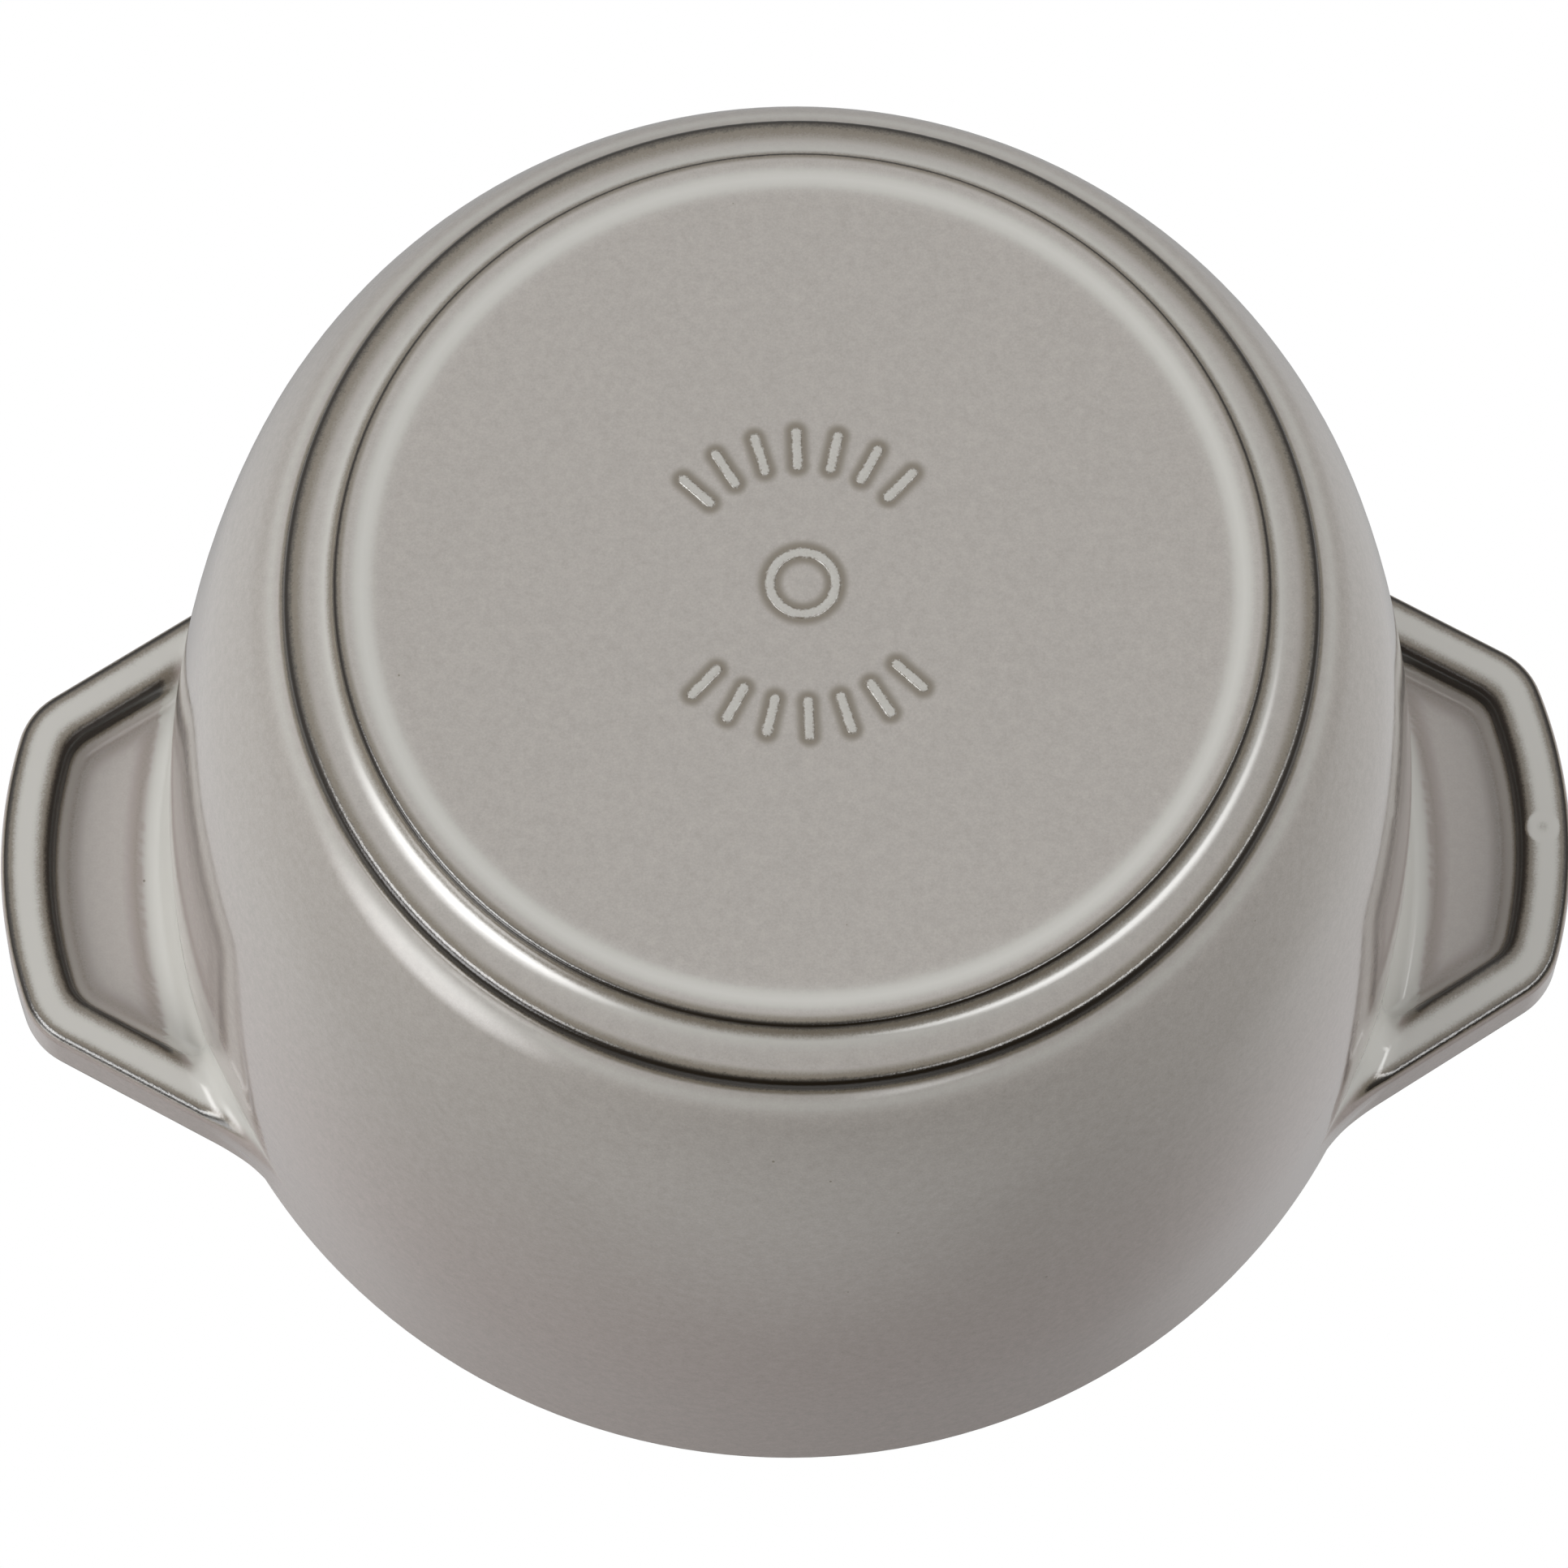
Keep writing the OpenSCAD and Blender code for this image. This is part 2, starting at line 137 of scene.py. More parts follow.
class CocotteFinish(bpy.types.PropertyGroup):
    """Colours of the enamel and the metals"""

    body_colour: bpy.props.FloatVectorProperty(
        name="Enamel", description="Grey of the enamel on open surfaces",
        default=(0.330, 0.308, 0.284), size=3, min=0, max=1, subtype="COLOR")
    # Painted reflection: a warmer grey laid up the wall towards the mouth
    reflection_tint_colour: bpy.props.FloatVectorProperty(
        name="Warm enamel", description="Warmer grey of the enamel towards the mouth",
        default=(0.330, 0.290, 0.270), size=3, min=0, max=1, subtype="COLOR")
    # This pale grey also paints light on the flat of the handle lips
    pool_and_painted_light_colour: bpy.props.FloatVectorProperty(
        name="Pooled enamel", description="Paler grey where the glaze has run thick",
        default=(0.485, 0.478, 0.448), size=3, min=0, max=1, subtype="COLOR")
    # This brown also paints shade on the finger pocket walls
    half_thin_and_shade_colour: bpy.props.FloatVectorProperty(
        name="Half thin", description="Colour of the grey enamel beside the edges",
        default=(0.165, 0.143, 0.112), size=3, min=0, max=1, subtype="COLOR")
    thin_colour: bpy.props.FloatVectorProperty(
        name="Thin enamel", description="Brown black where the glaze is thin over an edge",
        default=(0.012, 0.008, 0.004), size=3, min=0, max=1, subtype="COLOR")
    inside_colour: bpy.props.FloatVectorProperty(
        name="Inside", description="Matt black enamel of the cooking surfaces",
        default=(0.016, 0.0155, 0.015), size=3, min=0, max=1, subtype="COLOR")
    nickel_colour: bpy.props.FloatVectorProperty(
        name="Nickel", description="Plated metal of the knob",
        default=(0.66, 0.635, 0.60), size=3, min=0, max=1, subtype="COLOR")
    steel_colour: bpy.props.FloatVectorProperty(
        name="Steel", description="Steel of the screw and washer",
        default=(0.50, 0.50, 0.51), size=3, min=0, max=1, subtype="COLOR")


class CocotteStage(bpy.types.PropertyGroup):
    """Floor, light and camera"""

    floor_colour: bpy.props.FloatVectorProperty(
        name="Floor", description="Pale colour of the floor",
        default=(0.86, 0.86, 0.85), size=3, min=0, max=1, subtype="COLOR")
    ambient: bpy.props.FloatProperty(
        name="Ambient", description="Strength of the even light from all around",
        default=0.53, min=0)
    soft_box: bpy.props.FloatProperty(
        name="Soft box", description="Power of the soft box on the left, in watts",
        default=5.0, min=0)
    cards: bpy.props.FloatProperty(
        name="Cards", description="Brightness of the cards that show as highlights",
        default=12.5, min=0)
    sky: bpy.props.FloatProperty(
        name="Sky", description="Brightness of the soft cards above the object",
        default=0.33, min=0)
    foot_light: bpy.props.FloatProperty(
        name="Foot light", description="Power of the soft light that faces the foot, in watts",
        default=8.0, min=0)
    fill_light: bpy.props.FloatProperty(
        name="Fill light", description="Power of the soft light on the right, in watts",
        default=6.2, min=0)
    lid_light: bpy.props.FloatProperty(
        name="Lid light", description="Power of the soft light above the lid, in watts",
        default=9.0, min=0)
    lens: bpy.props.FloatProperty(
        name="Lens", description="Focal length of the camera on a 36 mm sensor, in millimetres",
        default=229.2)


# Paths in the plane of radius and height, in millimetres

CORNER_SHARE = 0.49
TINY = 1e-6
ON_AXIS = 1e-4
EDGE_REACH = 0.9
EDGE_BEND = (0.05, 0.26)
FADE_REACH = 2.1
FADE_GAIN = 2.9
POOL_REACH = 2.4
FINE_ROWS = 0.9
# The two values laid on the meshes: the thin one also carries painted shade on the finger pocket walls, and
# the pooled one also carries painted light on the flat of the handle lips
GLAZE = ("thin", "pool")
THIN_COLUMN = 0
POOL_COLUMN = 5


def unit(vector):
    """The vector with a length of 1."""
    return vector / np.linalg.norm(vector)


def ease(low, high, value):
    """Rises smoothly from 0 at low to 1 at high."""
    t = np.clip((value - low) / (high - low), 0, 1)
    return t * t * (3 - 2 * t)


def arc(centre, radius, start, end, steps=32):
    """Points of an arc about centre, from start to end in degrees."""
    angles = np.radians(np.linspace(start, end, steps + 1))
    return np.stack([centre[0] + radius * np.cos(angles), centre[1] + radius * np.sin(angles)], axis=1)


def rounded(before, corner, after, radius, steps=32):
    """The corner between two edges, rounded to radius as far as the edges allow."""
    before, corner, after = (np.asarray(p, float) for p in (before, corner, after))
    u, v = unit(before - corner), unit(after - corner)
    half = math.acos(np.clip(u @ v, -1, 1)) / 2
    shorter = min(np.linalg.norm(before - corner), np.linalg.norm(after - corner))
    reach = min(radius / math.tan(half), CORNER_SHARE * shorter)
    radius = reach * math.tan(half)
    centre = corner + unit(u + v) * radius / math.sin(half)
    first, last = corner + u * reach - centre, corner + v * reach - centre
    start = math.atan2(first[1], first[0])
    turn = math.atan2(first[0] * last[1] - first[1] * last[0], first @ last)
    return arc(centre, radius, math.degrees(start), math.degrees(start + turn), steps)


def swept(before, corner, after, first, last, steps=48):
    """The corner swept round in a curve that starts first before it and ends last after it."""
    before, corner, after = (np.asarray(p, float) for p in (before, corner, after))
    start, end = corner + first * unit(before - corner), corner + last * unit(after - corner)
    t = np.linspace(0, 1, steps + 1)[:, None]
    return (1 - t) ** 2 * start + 2 * t * (1 - t) * corner + t ** 2 * end


def soft_path(corners, closed=False):
    """A path through corners (radius, height, rounding). The ends of an open path stay sharp."""
    count = len(corners)
    parts = []
    for i, (r, z, rounding) in enumerate(corners):
        inner = closed or 0 < i < count - 1
        if rounding > 0 and inner:
            before, after = corners[i - 1], corners[(i + 1) % count]
            parts.append(rounded(before[:2], (r, z), after[:2], rounding))
        else:
            parts.append(np.array([[r, z]], float))
    if closed:
        parts.append(parts[0][:1])
    return np.concatenate(parts)


def even(path, step):
    """The path with points at even distances of about step."""
    lengths = np.concatenate([[0], np.cumsum(np.linalg.norm(np.diff(path, axis=0), axis=1))])
    count = max(8, int(round(lengths[-1] / step)))
    at = np.linspace(0, lengths[-1], count + 1)
    return np.stack([np.interp(at, lengths, path[:, k]) for k in range(2)], axis=1), at


def shifted(values, by, closed):
    """Values moved along the path by a whole number of points."""
    index = np.arange(len(values)) + by
    if closed:
        return values[index % (len(values) - 1)]
    return values[np.clip(index, 0, len(values) - 1)]


def read_path(path, closed=False, step=0.05):
    """An even path with its outward normals, bend and glaze: thin on edges, thin beside them and pooled."""
    points, at = even(path, step)
    span = 2
    tangent = shifted(points, span, closed) - shifted(points, -span, closed)
    tangent /= np.maximum(np.linalg.norm(tangent, axis=1, keepdims=True), TINY)
    normal = np.stack([tangent[:, 1], -tangent[:, 0]], axis=1)
    turn = np.linalg.norm(shifted(normal, span, closed) - shifted(normal, -span, closed), axis=1)
    bend = turn / (2 * span * step)
    hollow = []
    for reach in (EDGE_REACH, FADE_REACH, POOL_REACH):
        by = int(round(reach / step))
        middle = (shifted(points, by, closed) + shifted(points, -by, closed)) / 2
        hollow.append(((middle - points) * normal).sum(axis=1) / reach)
    on_edge = ease(*EDGE_BEND, -hollow[0])
    beside = np.clip(-FADE_GAIN * hollow[1], 0, 1)
    pool = np.clip(hollow[2], 0, 1)
    return points, at, normal, bend, np.stack([on_edge, beside, pool], axis=1)


def row_spacing(bend, at, widest, turn=0.16, tightest=0.14, growth=0.22):
    """Distance between rows along a path: short where it bends, and slowly growing on flat stretches."""
    spacing = np.clip(turn / np.maximum(bend, TINY), tightest, widest)
    grow = growth * np.diff(at)
    for i in range(1, len(spacing)):
        spacing[i] = min(spacing[i], spacing[i - 1] + grow[i - 1])
    for i in range(len(spacing) - 2, -1, -1):
        spacing[i] = min(spacing[i], spacing[i + 1] + grow[i])
    return spacing


def count_rows(at, spacing):
    """How many rows lie before each point of a path."""
    return np.concatenate([[0], np.cumsum(np.diff(at) * 2 / (spacing[1:] + spacing[:-1]))])


def lay_rows(path, widest, closed=False, fine_below=None):
    """Rows of a turned shape: points, normals and glaze. They lie closer below a given height."""
    points, at, normal, bend, glaze = read_path(path, closed)
    if fine_below is not None:
        widest = np.where(points[:, 1] < fine_below, FINE_ROWS, widest)
    dose = count_rows(at, row_spacing(bend, at, widest))
    count = int(math.ceil(dose[-1]))
    places = np.interp(np.linspace(0, dose[-1], count + 1), dose, at)
    table = np.column_stack([points, normal, glaze[:, :2].max(axis=1), glaze[:, 2]])
    rows = np.stack([np.interp(places, at, column) for column in table.T], axis=1)
    return rows[:-1] if closed else rows


# Meshes

class MeshParts:
    """Points in millimetres, with their normals and glaze values, and the faces between them."""

    def __init__(self):
        self.points = []
        self.normals = []
        self.glaze = []
        self.faces = []
        self.finish = []

    def add(self, points, normals, glaze):
        """Adds points and gives the index of the first."""
        start = sum(len(p) for p in self.points)
        self.points.append(np.asarray(points, float))
        self.normals.append(np.asarray(normals, float))
        self.glaze.append(np.asarray(glaze, float))
        return start

    def face(self, indices, finish=0):
        """Adds a face with the number of its material."""
        self.faces.append([int(i) for i in indices])
        self.finish.append(finish)

    def ring(self, row, angles):
        """Points of one turned row, or one point where the row lies on the axis. Gives their indices."""
        r, z, nr, nz, *glaze = row
        if r < ON_AXIS:
            start = self.add([[0, 0, z]], [[0, 0, math.copysign(1, nz)]], [glaze])
            return np.full(len(angles), start)
        c, s = np.cos(angles), np.sin(angles)
        points = np.stack([r * c, r * s, np.full(len(c), z)], axis=1)
        normals = np.stack([nr * c, nr * s, np.full(len(c), nz)], axis=1)
        start = self.add(points, normals, np.tile(glaze, (len(c), 1)))
        return np.arange(start, start + len(c))

    def bridge(self, low, high, finish=0):
        """Faces between two rings of the same number of points."""
        for k in range(len(low)):
            n = (k + 1) % len(low)
            corners = list(dict.fromkeys((low[k], low[n], high[n], high[k])))
            if len(corners) > 2:
                self.face(corners, finish)

    def turn(self, rows, finish=None, closed=False, columns=COLUMNS):
        """A turned shape of all the rows, each with its own finish."""
        angles = np.linspace(0, 2 * math.pi, columns, endpoint=False)
        rings = [self.ring(row, angles) for row in rows]
        finish = [0] * len(rows) if finish is None else finish
        pairs = len(rings) if closed else len(rings) - 1
        for i in range(pairs):
            self.bridge(rings[i], rings[(i + 1) % len(rings)], finish[i])
        return rings

    def make(self, name, materials):
        """The finished object, at the origin, in metres."""
        points = np.concatenate(self.points) * MM
        normals = np.concatenate(self.normals)
        normals /= np.maximum(np.linalg.norm(normals, axis=1, keepdims=True), TINY)
        mesh = bpy.data.meshes.new(name)
        mesh.from_pydata(points.tolist(), [], self.faces, shade_flat=False)
        for label, values in zip(GLAZE, np.concatenate(self.glaze).T):
            attribute = mesh.attributes.new(label, "FLOAT", "POINT")
            attribute.data.foreach_set("value", values.astype(np.float32))
        for material in materials:
            mesh.materials.append(material)
        mesh.polygons.foreach_set("material_index", np.array(self.finish, np.int32))
        mesh.normals_split_custom_set_from_vertices(normals.tolist())
        mesh.update()
        return place(name, mesh)


def place(name, mesh):
    """Puts a mesh into the scene as an object."""
    piece = bpy.data.objects.new(name, mesh)
    bpy.context.scene.collection.objects.link(piece)
    return piece


def put(piece, body, node=None):
    """Ties a finished piece to its body, and hides the solid that it stands for."""
    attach(piece, body)
    if node:
        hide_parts(node)


# Shape of the pot

STRAIGHT = 21.0
BELLY_RADIUS = 294.0
HEEL_HEIGHT = 30.0
HEEL_RADIUS = 78.0
TOE_RADIUS = 12.0
TOE_END = 58.0
TOE_TRIM = 4.0
FLOOR_FILLET = 18.0
RIM_EDGE = 1.4
MOUTH_EDGE = 0.8
FOOT_HEIGHT = 2.2
SHELF = 6.4
RING_HEIGHT = 3.9
RING_STEP = 1.9
STEP_DRAFT = 0.2
FOOT_EDGE = 0.8
RING_EDGE = 1.4
SHELF_COVE = (1.3, 3.2)
VALLEY_FILLET = 1.2
DISH_EDGE = 1.2
DISH_SLOPE = 3.6
DISH_POINTS = 33
DISH_POOL = (3.1, 1.3, 0.2)
VALLEY_POOL = (3.8, 1.4, 0.12)
FOOT_FADE = (1.2, 2.75, 1.6)
FOOT_SWAY = -0.3
RING_FADE = (2.9, 2.45, 5.0)
RING_SWAY = 1.1
INNER_POWER = 1.3
SHELF_POOL = 0.6
TOE_TOP = 16.0
BAND_LOW = 80.0
JOIN = 1.5
RIM_END = 2.0
RIM_LAP = 0.4
TOE_STEPS = 64
HEEL_STEPS = 128
BELLY_STEPS = 256
FLOOR_STEPS = 96
WALL_ROWS = 3.2
INSIDE_ROWS = 4.0


def round_corner(first, second, radius):
    """Distance outside a rounded corner, from the distances past the middle of its arc on two ways."""
    outside = np.hypot(np.maximum(first, 0), np.maximum(second, 0))
    return np.minimum(np.maximum(first, second), 0) + outside - radius


class PotShape:
    """Circles and corners that the pot's section is drawn from."""

    def __init__(self, sizes):
        self.mouth = sizes.mouth_radius / MM
        self.height = sizes.height / MM
        self.wall = sizes.wall / MM
        self.floor = sizes.floor / MM
        self.dish = sizes.dish / MM
        self.radius = self.mouth + self.wall
        self.belly_z = self.height - STRAIGHT
        self.belly = np.array([self.radius - BELLY_RADIUS, self.belly_z])
        self.heel_a = math.degrees(math.asin((self.belly_z - HEEL_HEIGHT) / BELLY_RADIUS))
        slope = math.radians(self.heel_a)
        self.heel = self.belly + (BELLY_RADIUS - HEEL_RADIUS) * np.array([math.cos(slope), -math.sin(slope)])
        self.valley_z = RING_HEIGHT + RING_STEP
        toe_z = self.valley_z + TOE_RADIUS * math.sin(math.radians(TOE_END))
        slope = math.asin((self.heel[1] - toe_z) / (HEEL_RADIUS - TOE_RADIUS))
        self.toe_a = math.degrees(slope)
        self.toe = np.array([self.heel[0] + (HEEL_RADIUS - TOE_RADIUS) * math.cos(slope), toe_z])
        self.valley_r = self.toe[0] + TOE_RADIUS * math.cos(math.radians(TOE_END))
        self.ring_r = self.valley_r - RING_STEP * STEP_DRAFT
        self.foot_r = self.ring_r - SHELF

    def outside(self):
        """Section from the middle of the foot to the wall below the handles."""
        foot = (self.foot_r, 0)
        shelf = (self.foot_r + FOOT_HEIGHT * STEP_DRAFT, FOOT_HEIGHT)
        ring = (self.ring_r, RING_HEIGHT)
        valley = np.array([self.valley_r, self.valley_z])
        end = math.radians(TOE_END)
        up_toe = valley + TOE_RADIUS * np.array([math.sin(end), math.cos(end)])
        dish_r = self.foot_r - DISH_EDGE - DISH_SLOPE
        low_a = math.degrees(math.asin((self.belly_z - BAND_LOW + JOIN) / BELLY_RADIUS))
        share = np.linspace(0, 1, DISH_POINTS)
        fall = (1 + np.cos(np.pi * share)) / 2
        slope = np.stack([dish_r + DISH_SLOPE * share, self.dish * fall], axis=1)
        return np.concatenate([
            [[0, self.dish]],
            slope,
            rounded((0, 0), foot, shelf, FOOT_EDGE),
            swept(foot, shelf, ring, *SHELF_COVE),
            rounded(shelf, ring, valley, RING_EDGE),
            rounded(ring, valley, up_toe, VALLEY_FILLET),
            arc(self.toe, TOE_RADIUS, TOE_TRIM - TOE_END, -self.toe_a, TOE_STEPS),
            arc(self.heel, HEEL_RADIUS, -self.toe_a, -self.heel_a, HEEL_STEPS)[1:],
            arc(self.belly, BELLY_RADIUS, -self.heel_a, -low_a, BELLY_STEPS)[1:],
        ])

    def turn_outside(self, parts):
        """Turns the outside. Its glaze is thin about the edges of foot and ring, and pools beside them."""
        rows = lay_rows(self.outside(), WALL_ROWS, fine_below=TOE_TOP)
        points = rows[:, :2]
        pool = rows[:, POOL_COLUMN]
        along = np.concatenate([[0], np.cumsum(np.linalg.norm(np.diff(points, axis=0), axis=1))])
        foot = along - along[np.argmin(np.linalg.norm(points - (self.foot_r, 0), axis=1))]
        ring = along - along[np.argmin(np.linalg.norm(points - (self.ring_r, RING_HEIGHT), axis=1))]
        pool *= np.where(foot > 0, SHELF_POOL, 1)
        inset, width, depth = DISH_POOL
        pool += depth * np.exp(-((foot + inset) / width) ** 2)
        inset, width, depth = VALLEY_POOL
        pool[:] = np.where(ring > 0, depth * np.exp(-((ring - inset) / width) ** 2), pool)
        rings = parts.turn(rows)
        angles = np.linspace(0, 2 * math.pi, COLUMNS, endpoint=False)
        # The dark bands reach further towards the axis on one side of the pot than on the other, following
        # the sine of the angle
        sway = np.sin(angles)
        for k in range(1, len(rows)):
            at_foot = self.thinned(foot[k], FOOT_FADE[0] + FOOT_SWAY * sway, *FOOT_FADE[1:])
            at_ring = self.thinned(ring[k], RING_FADE[0] + RING_SWAY * sway, *RING_FADE[1:])
            parts.glaze[k][:, THIN_COLUMN] = np.maximum(at_foot, at_ring)
        return rings

    @staticmethod
    def thinned(past, inner, outer, power):
        """How thin the glaze is past an edge, with a reach towards the axis and one away from it."""
        if past < 0:
            away = (-past / inner) ** INNER_POWER
        else:
            away = (past / outer) ** power
        return np.clip(1 - away, 0, 1)

    def inside(self):
        """Section from the flat of the rim over the mouth's edge and down to the middle of the floor."""
        reach = HEEL_RADIUS - self.wall - FLOOR_FILLET
        slope = math.asin((self.heel[1] - self.floor - FLOOR_FILLET) / reach)
        floor = (self.heel[0] + reach * math.cos(slope), self.floor + FLOOR_FILLET)
        floor_a = math.degrees(slope)
        start = (self.radius - RIM_END - RIM_LAP, self.height)
        corner = (self.mouth, self.height)
        return np.concatenate([
            [start],
            rounded(start, corner, (self.mouth, self.belly_z), MOUTH_EDGE),
            arc(self.belly, BELLY_RADIUS - self.wall, 0, -self.heel_a, BELLY_STEPS),
            arc(self.heel, HEEL_RADIUS - self.wall, -self.heel_a, -floor_a, FLOOR_STEPS)[1:],
            arc(floor, FLOOR_FILLET, -floor_a, -90, FLOOR_STEPS)[1:],
            [[0, self.floor]],
        ])

    def wall_distance(self, r, z):
        """Distance outside the wall and rim, near the handles."""
        drop = np.maximum(self.belly_z - z, 0)
        wall = self.radius - BELLY_RADIUS + np.sqrt(BELLY_RADIUS ** 2 - drop ** 2)
        return round_corner(r - wall + RIM_EDGE, z - self.height + RIM_EDGE, RIM_EDGE)


# Shape of the handles

HANDLE_BOW = 4.2
HANDLE_SLANT = 59.0
HANDLE_CORNER = 10.5
HANDLE_FLARE = 40.0
FLARE_SINK = 0.8
FLARE_DIVE = 0.5
HANDLE_EDGE = 1.5
LIP_EDGE = 1.4
LIP_ROOT = 3.2
LIP_ROOT_RUN = 2.0
LIP_ROOT_FULL = 1.0
POCKET_CORNER = 6.0
POCKET_FILLET = 2.0
POCKET_DRAFT = 1.0
TOP_COVE = 1.9
COVE_CHANGE = (-1.5, 3.5)
ROOT_COVE = 0.9
ROOT_FADE = (24.0, 33.0)
FAR = 1e6

# Lines that are followed over a handle, and the rows and columns of its mesh

TRACE_START = 40.0
TRACE_ROUNDS = 300
TRACE_SHARE = 0.7
STRIDE = 0.12
MOST_STRIDES = 1200
SETTLE_ROUNDS = 2
LEAST_SLOPE = 0.05
HANDLE_SPAN = 42.0
FINE = 5
LOW_ROWS = 84
HIGH_ROWS = 30
RIM_ROWS = 4
BAND_ROWS = 1.0
BAND_TIGHTEST = 0.2

# Glaze on a handle: dark lines along its lip and outer edge, paler glaze and painted light between them, and
# painted shade on its finger pocket walls

FACING_DOWN = (0.6, 0.95)
UNDERSIDE_TOP = 1.0
LIP_LINE = (-3.05, -0.05)
LINE_FOOT = (1.2, 0.45)
LINE_END = (2.5, 5.5)
OUTER_LINE = (0.15, 0.55)
OUTER_FADE = (3.3, 0.65)
OUTER_END = (0.3, 2.5)
TOP_LINE = (0.45, 1.0)
# Painted light on the flat of the handle lips, and the share of it left at the wall with the run over which
# it comes back
LIP_PAINTED_LIGHT = (0.5, 0.24)
LIP_LIGHT_AT_ROOT = (0.4, 7.0)
POCKET_POOL = 0.35
# Painted shade on the finger pocket walls with a little pooled glaze, and where it fades in away from the
# wall
POCKET_WALL_SHADE_AND_POOL = (0.30, 0.03)
SIDE_END = (-0.5, 0.5)
# A darker brown band round the pocket floor beside its wall, and paler glaze in its middle
FLOOR_EDGE = (-0.8, 0.6)
FLOOR_DROP = 0.6
FLOOR_DARK_BAND = (3.0, 0.30)
FLOOR_POOL = 0.11


class HandleShape:
    """Distance field of one handle and the wall that it grows from."""

    def __init__(self, pot, sizes):
        self.pot = pot
        self.top = pot.height - sizes.drop / MM
        self.low = self.top - sizes.depth / MM
        self.middle = (self.top + self.low) / 2
        self.lip = sizes.lip / MM
        self.roof = self.low + sizes.pocket / MM
        self.cove = sizes.cove / MM
        half = sizes.width / MM / 2
        tip = pot.radius + sizes.reach / MM
        slant = math.radians(HANDLE_SLANT)
        self.side = np.array([-math.sin(slant), math.cos(slant)])
        self.out = np.array([math.cos(slant), math.sin(slant)])
        knuckle = np.array([tip - HANDLE_BOW, half])
        self.bow_r = (HANDLE_BOW ** 2 + half ** 2) / (2 * HANDLE_BOW)
        self.bow = np.array([tip - self.bow_r, 0])
        inner = knuckle - HANDLE_CORNER * self.out
        self.corner = self.reach_circle(inner, self.bow, self.bow_r - HANDLE_CORNER)
        self.bow_end = math.atan2(self.corner[1], self.corner[0] - self.bow[0])
        self.side_start = self.corner + HANDLE_CORNER * self.out
        flare_r = pot.radius - FLARE_SINK + HANDLE_FLARE
        self.flare = self.reach_circle(knuckle + HANDLE_FLARE * self.out, np.zeros(2), flare_r)
        self.flare_end = self.flare * (1 - HANDLE_FLARE / flare_r)
        self.end_out = unit(self.flare)
        self.end_side = np.array([-self.end_out[1], self.end_out[0]])

    def reach_circle(self, start, centre, radius):
        """Where the line from start along the handle's side meets a circle, on the handle's outer end."""
        along = (start - centre) @ self.side
        rest = (start - centre) @ (start - centre) - radius ** 2
        return start - (along + math.sqrt(along * along - rest)) * self.side

    def plan_distance(self, x, y):
        """Distance inside the handle's outline seen from above, and below 0 outside it."""
        y = np.abs(y)
        bow_x = x - self.bow[0]
        bow = np.where(np.arctan2(y, bow_x) <= self.bow_end, self.bow_r - np.hypot(bow_x, y), FAR)
        cx, cy = x - self.corner[0], y - self.corner[1]
        turn = np.arctan2(cy, cx)
        at_corner = (turn >= self.bow_end) & (turn <= math.radians(HANDLE_SLANT))
        corner = np.where(at_corner, HANDLE_CORNER - np.hypot(cx, cy), FAR)
        sx, sy = x - self.side_start[0], y - self.side_start[1]
        fx, fy = x - self.flare[0], y - self.flare[1]
        past_corner = sx * self.side[0] + sy * self.side[1] >= 0
        before_flare = fx * self.side[0] + fy * self.side[1] <= 0
        side = np.where(past_corner & before_flare, -(sx * self.out[0] + sy * self.out[1]), FAR)
        ex, ey = x - self.flare_end[0], y - self.flare_end[1]
        past_end = ex * self.end_side[0] + ey * self.end_side[1]
        flare = np.where(~before_flare & (past_end <= 0), np.hypot(fx, fy) - HANDLE_FLARE, FAR)
        sunk = -(ex * self.end_out[0] + ey * self.end_out[1]) - FLARE_DIVE * past_end
        end = np.where(past_end > 0, sunk, FAR)
        choices = np.stack([bow, corner, side, flare, end])
        nearest = np.abs(choices).argmin(axis=0)
        outline = np.take_along_axis(choices, nearest[None], axis=0)[0]
        from_bow = self.bow_r - np.hypot(bow_x, y)
        from_side = -(sx * self.out[0] + sy * self.out[1])
        return np.minimum(outline, self.pocket_corner(from_bow, from_side))

    def pocket_corner(self, from_bow, from_side):
        """Distance inside the outline by the wider corners that keep the finger pocket round."""
        lean = math.cos(math.radians(HANDLE_SLANT) - self.bow_end)
        middle = (from_bow + from_side) / 2 - POCKET_CORNER
        apart = (from_bow - from_side) / 2
        rest = POCKET_CORNER ** 2 * (1 - lean ** 2) - 2 * apart ** 2 * (1 + lean)
        arc_at = middle + np.sqrt(np.maximum(rest, 0) / (2 * (1 - lean)))
        return np.where(np.abs(apart) < POCKET_CORNER * (1 - lean) / 2, arc_at, np.inf)

    def section_distance(self, inset, z, from_wall):
        """Distance outside the handle's section: a slab with round edges and a finger pocket under it."""
        half = (self.top - self.low) / 2
        slab = round_corner(HANDLE_EDGE - inset, np.abs(z - self.middle) - half + HANDLE_EDGE, HANDLE_EDGE)
        draft = POCKET_DRAFT * (z - self.low) / (self.roof - self.low)
        aside = self.lip + draft - inset + POCKET_FILLET
        pocket = round_corner(aside, z - self.roof + POCKET_FILLET, POCKET_FILLET)
        at_root = ease(self.cove + LIP_ROOT_RUN, LIP_ROOT_FULL, from_wall)
        lip = LIP_EDGE + (LIP_ROOT - LIP_EDGE) * at_root
        u, v = np.maximum(lip + slab, 0), np.maximum(lip - pocket, 0)
        return np.minimum(-lip, np.maximum(slab, -pocket)) + np.hypot(u, v)

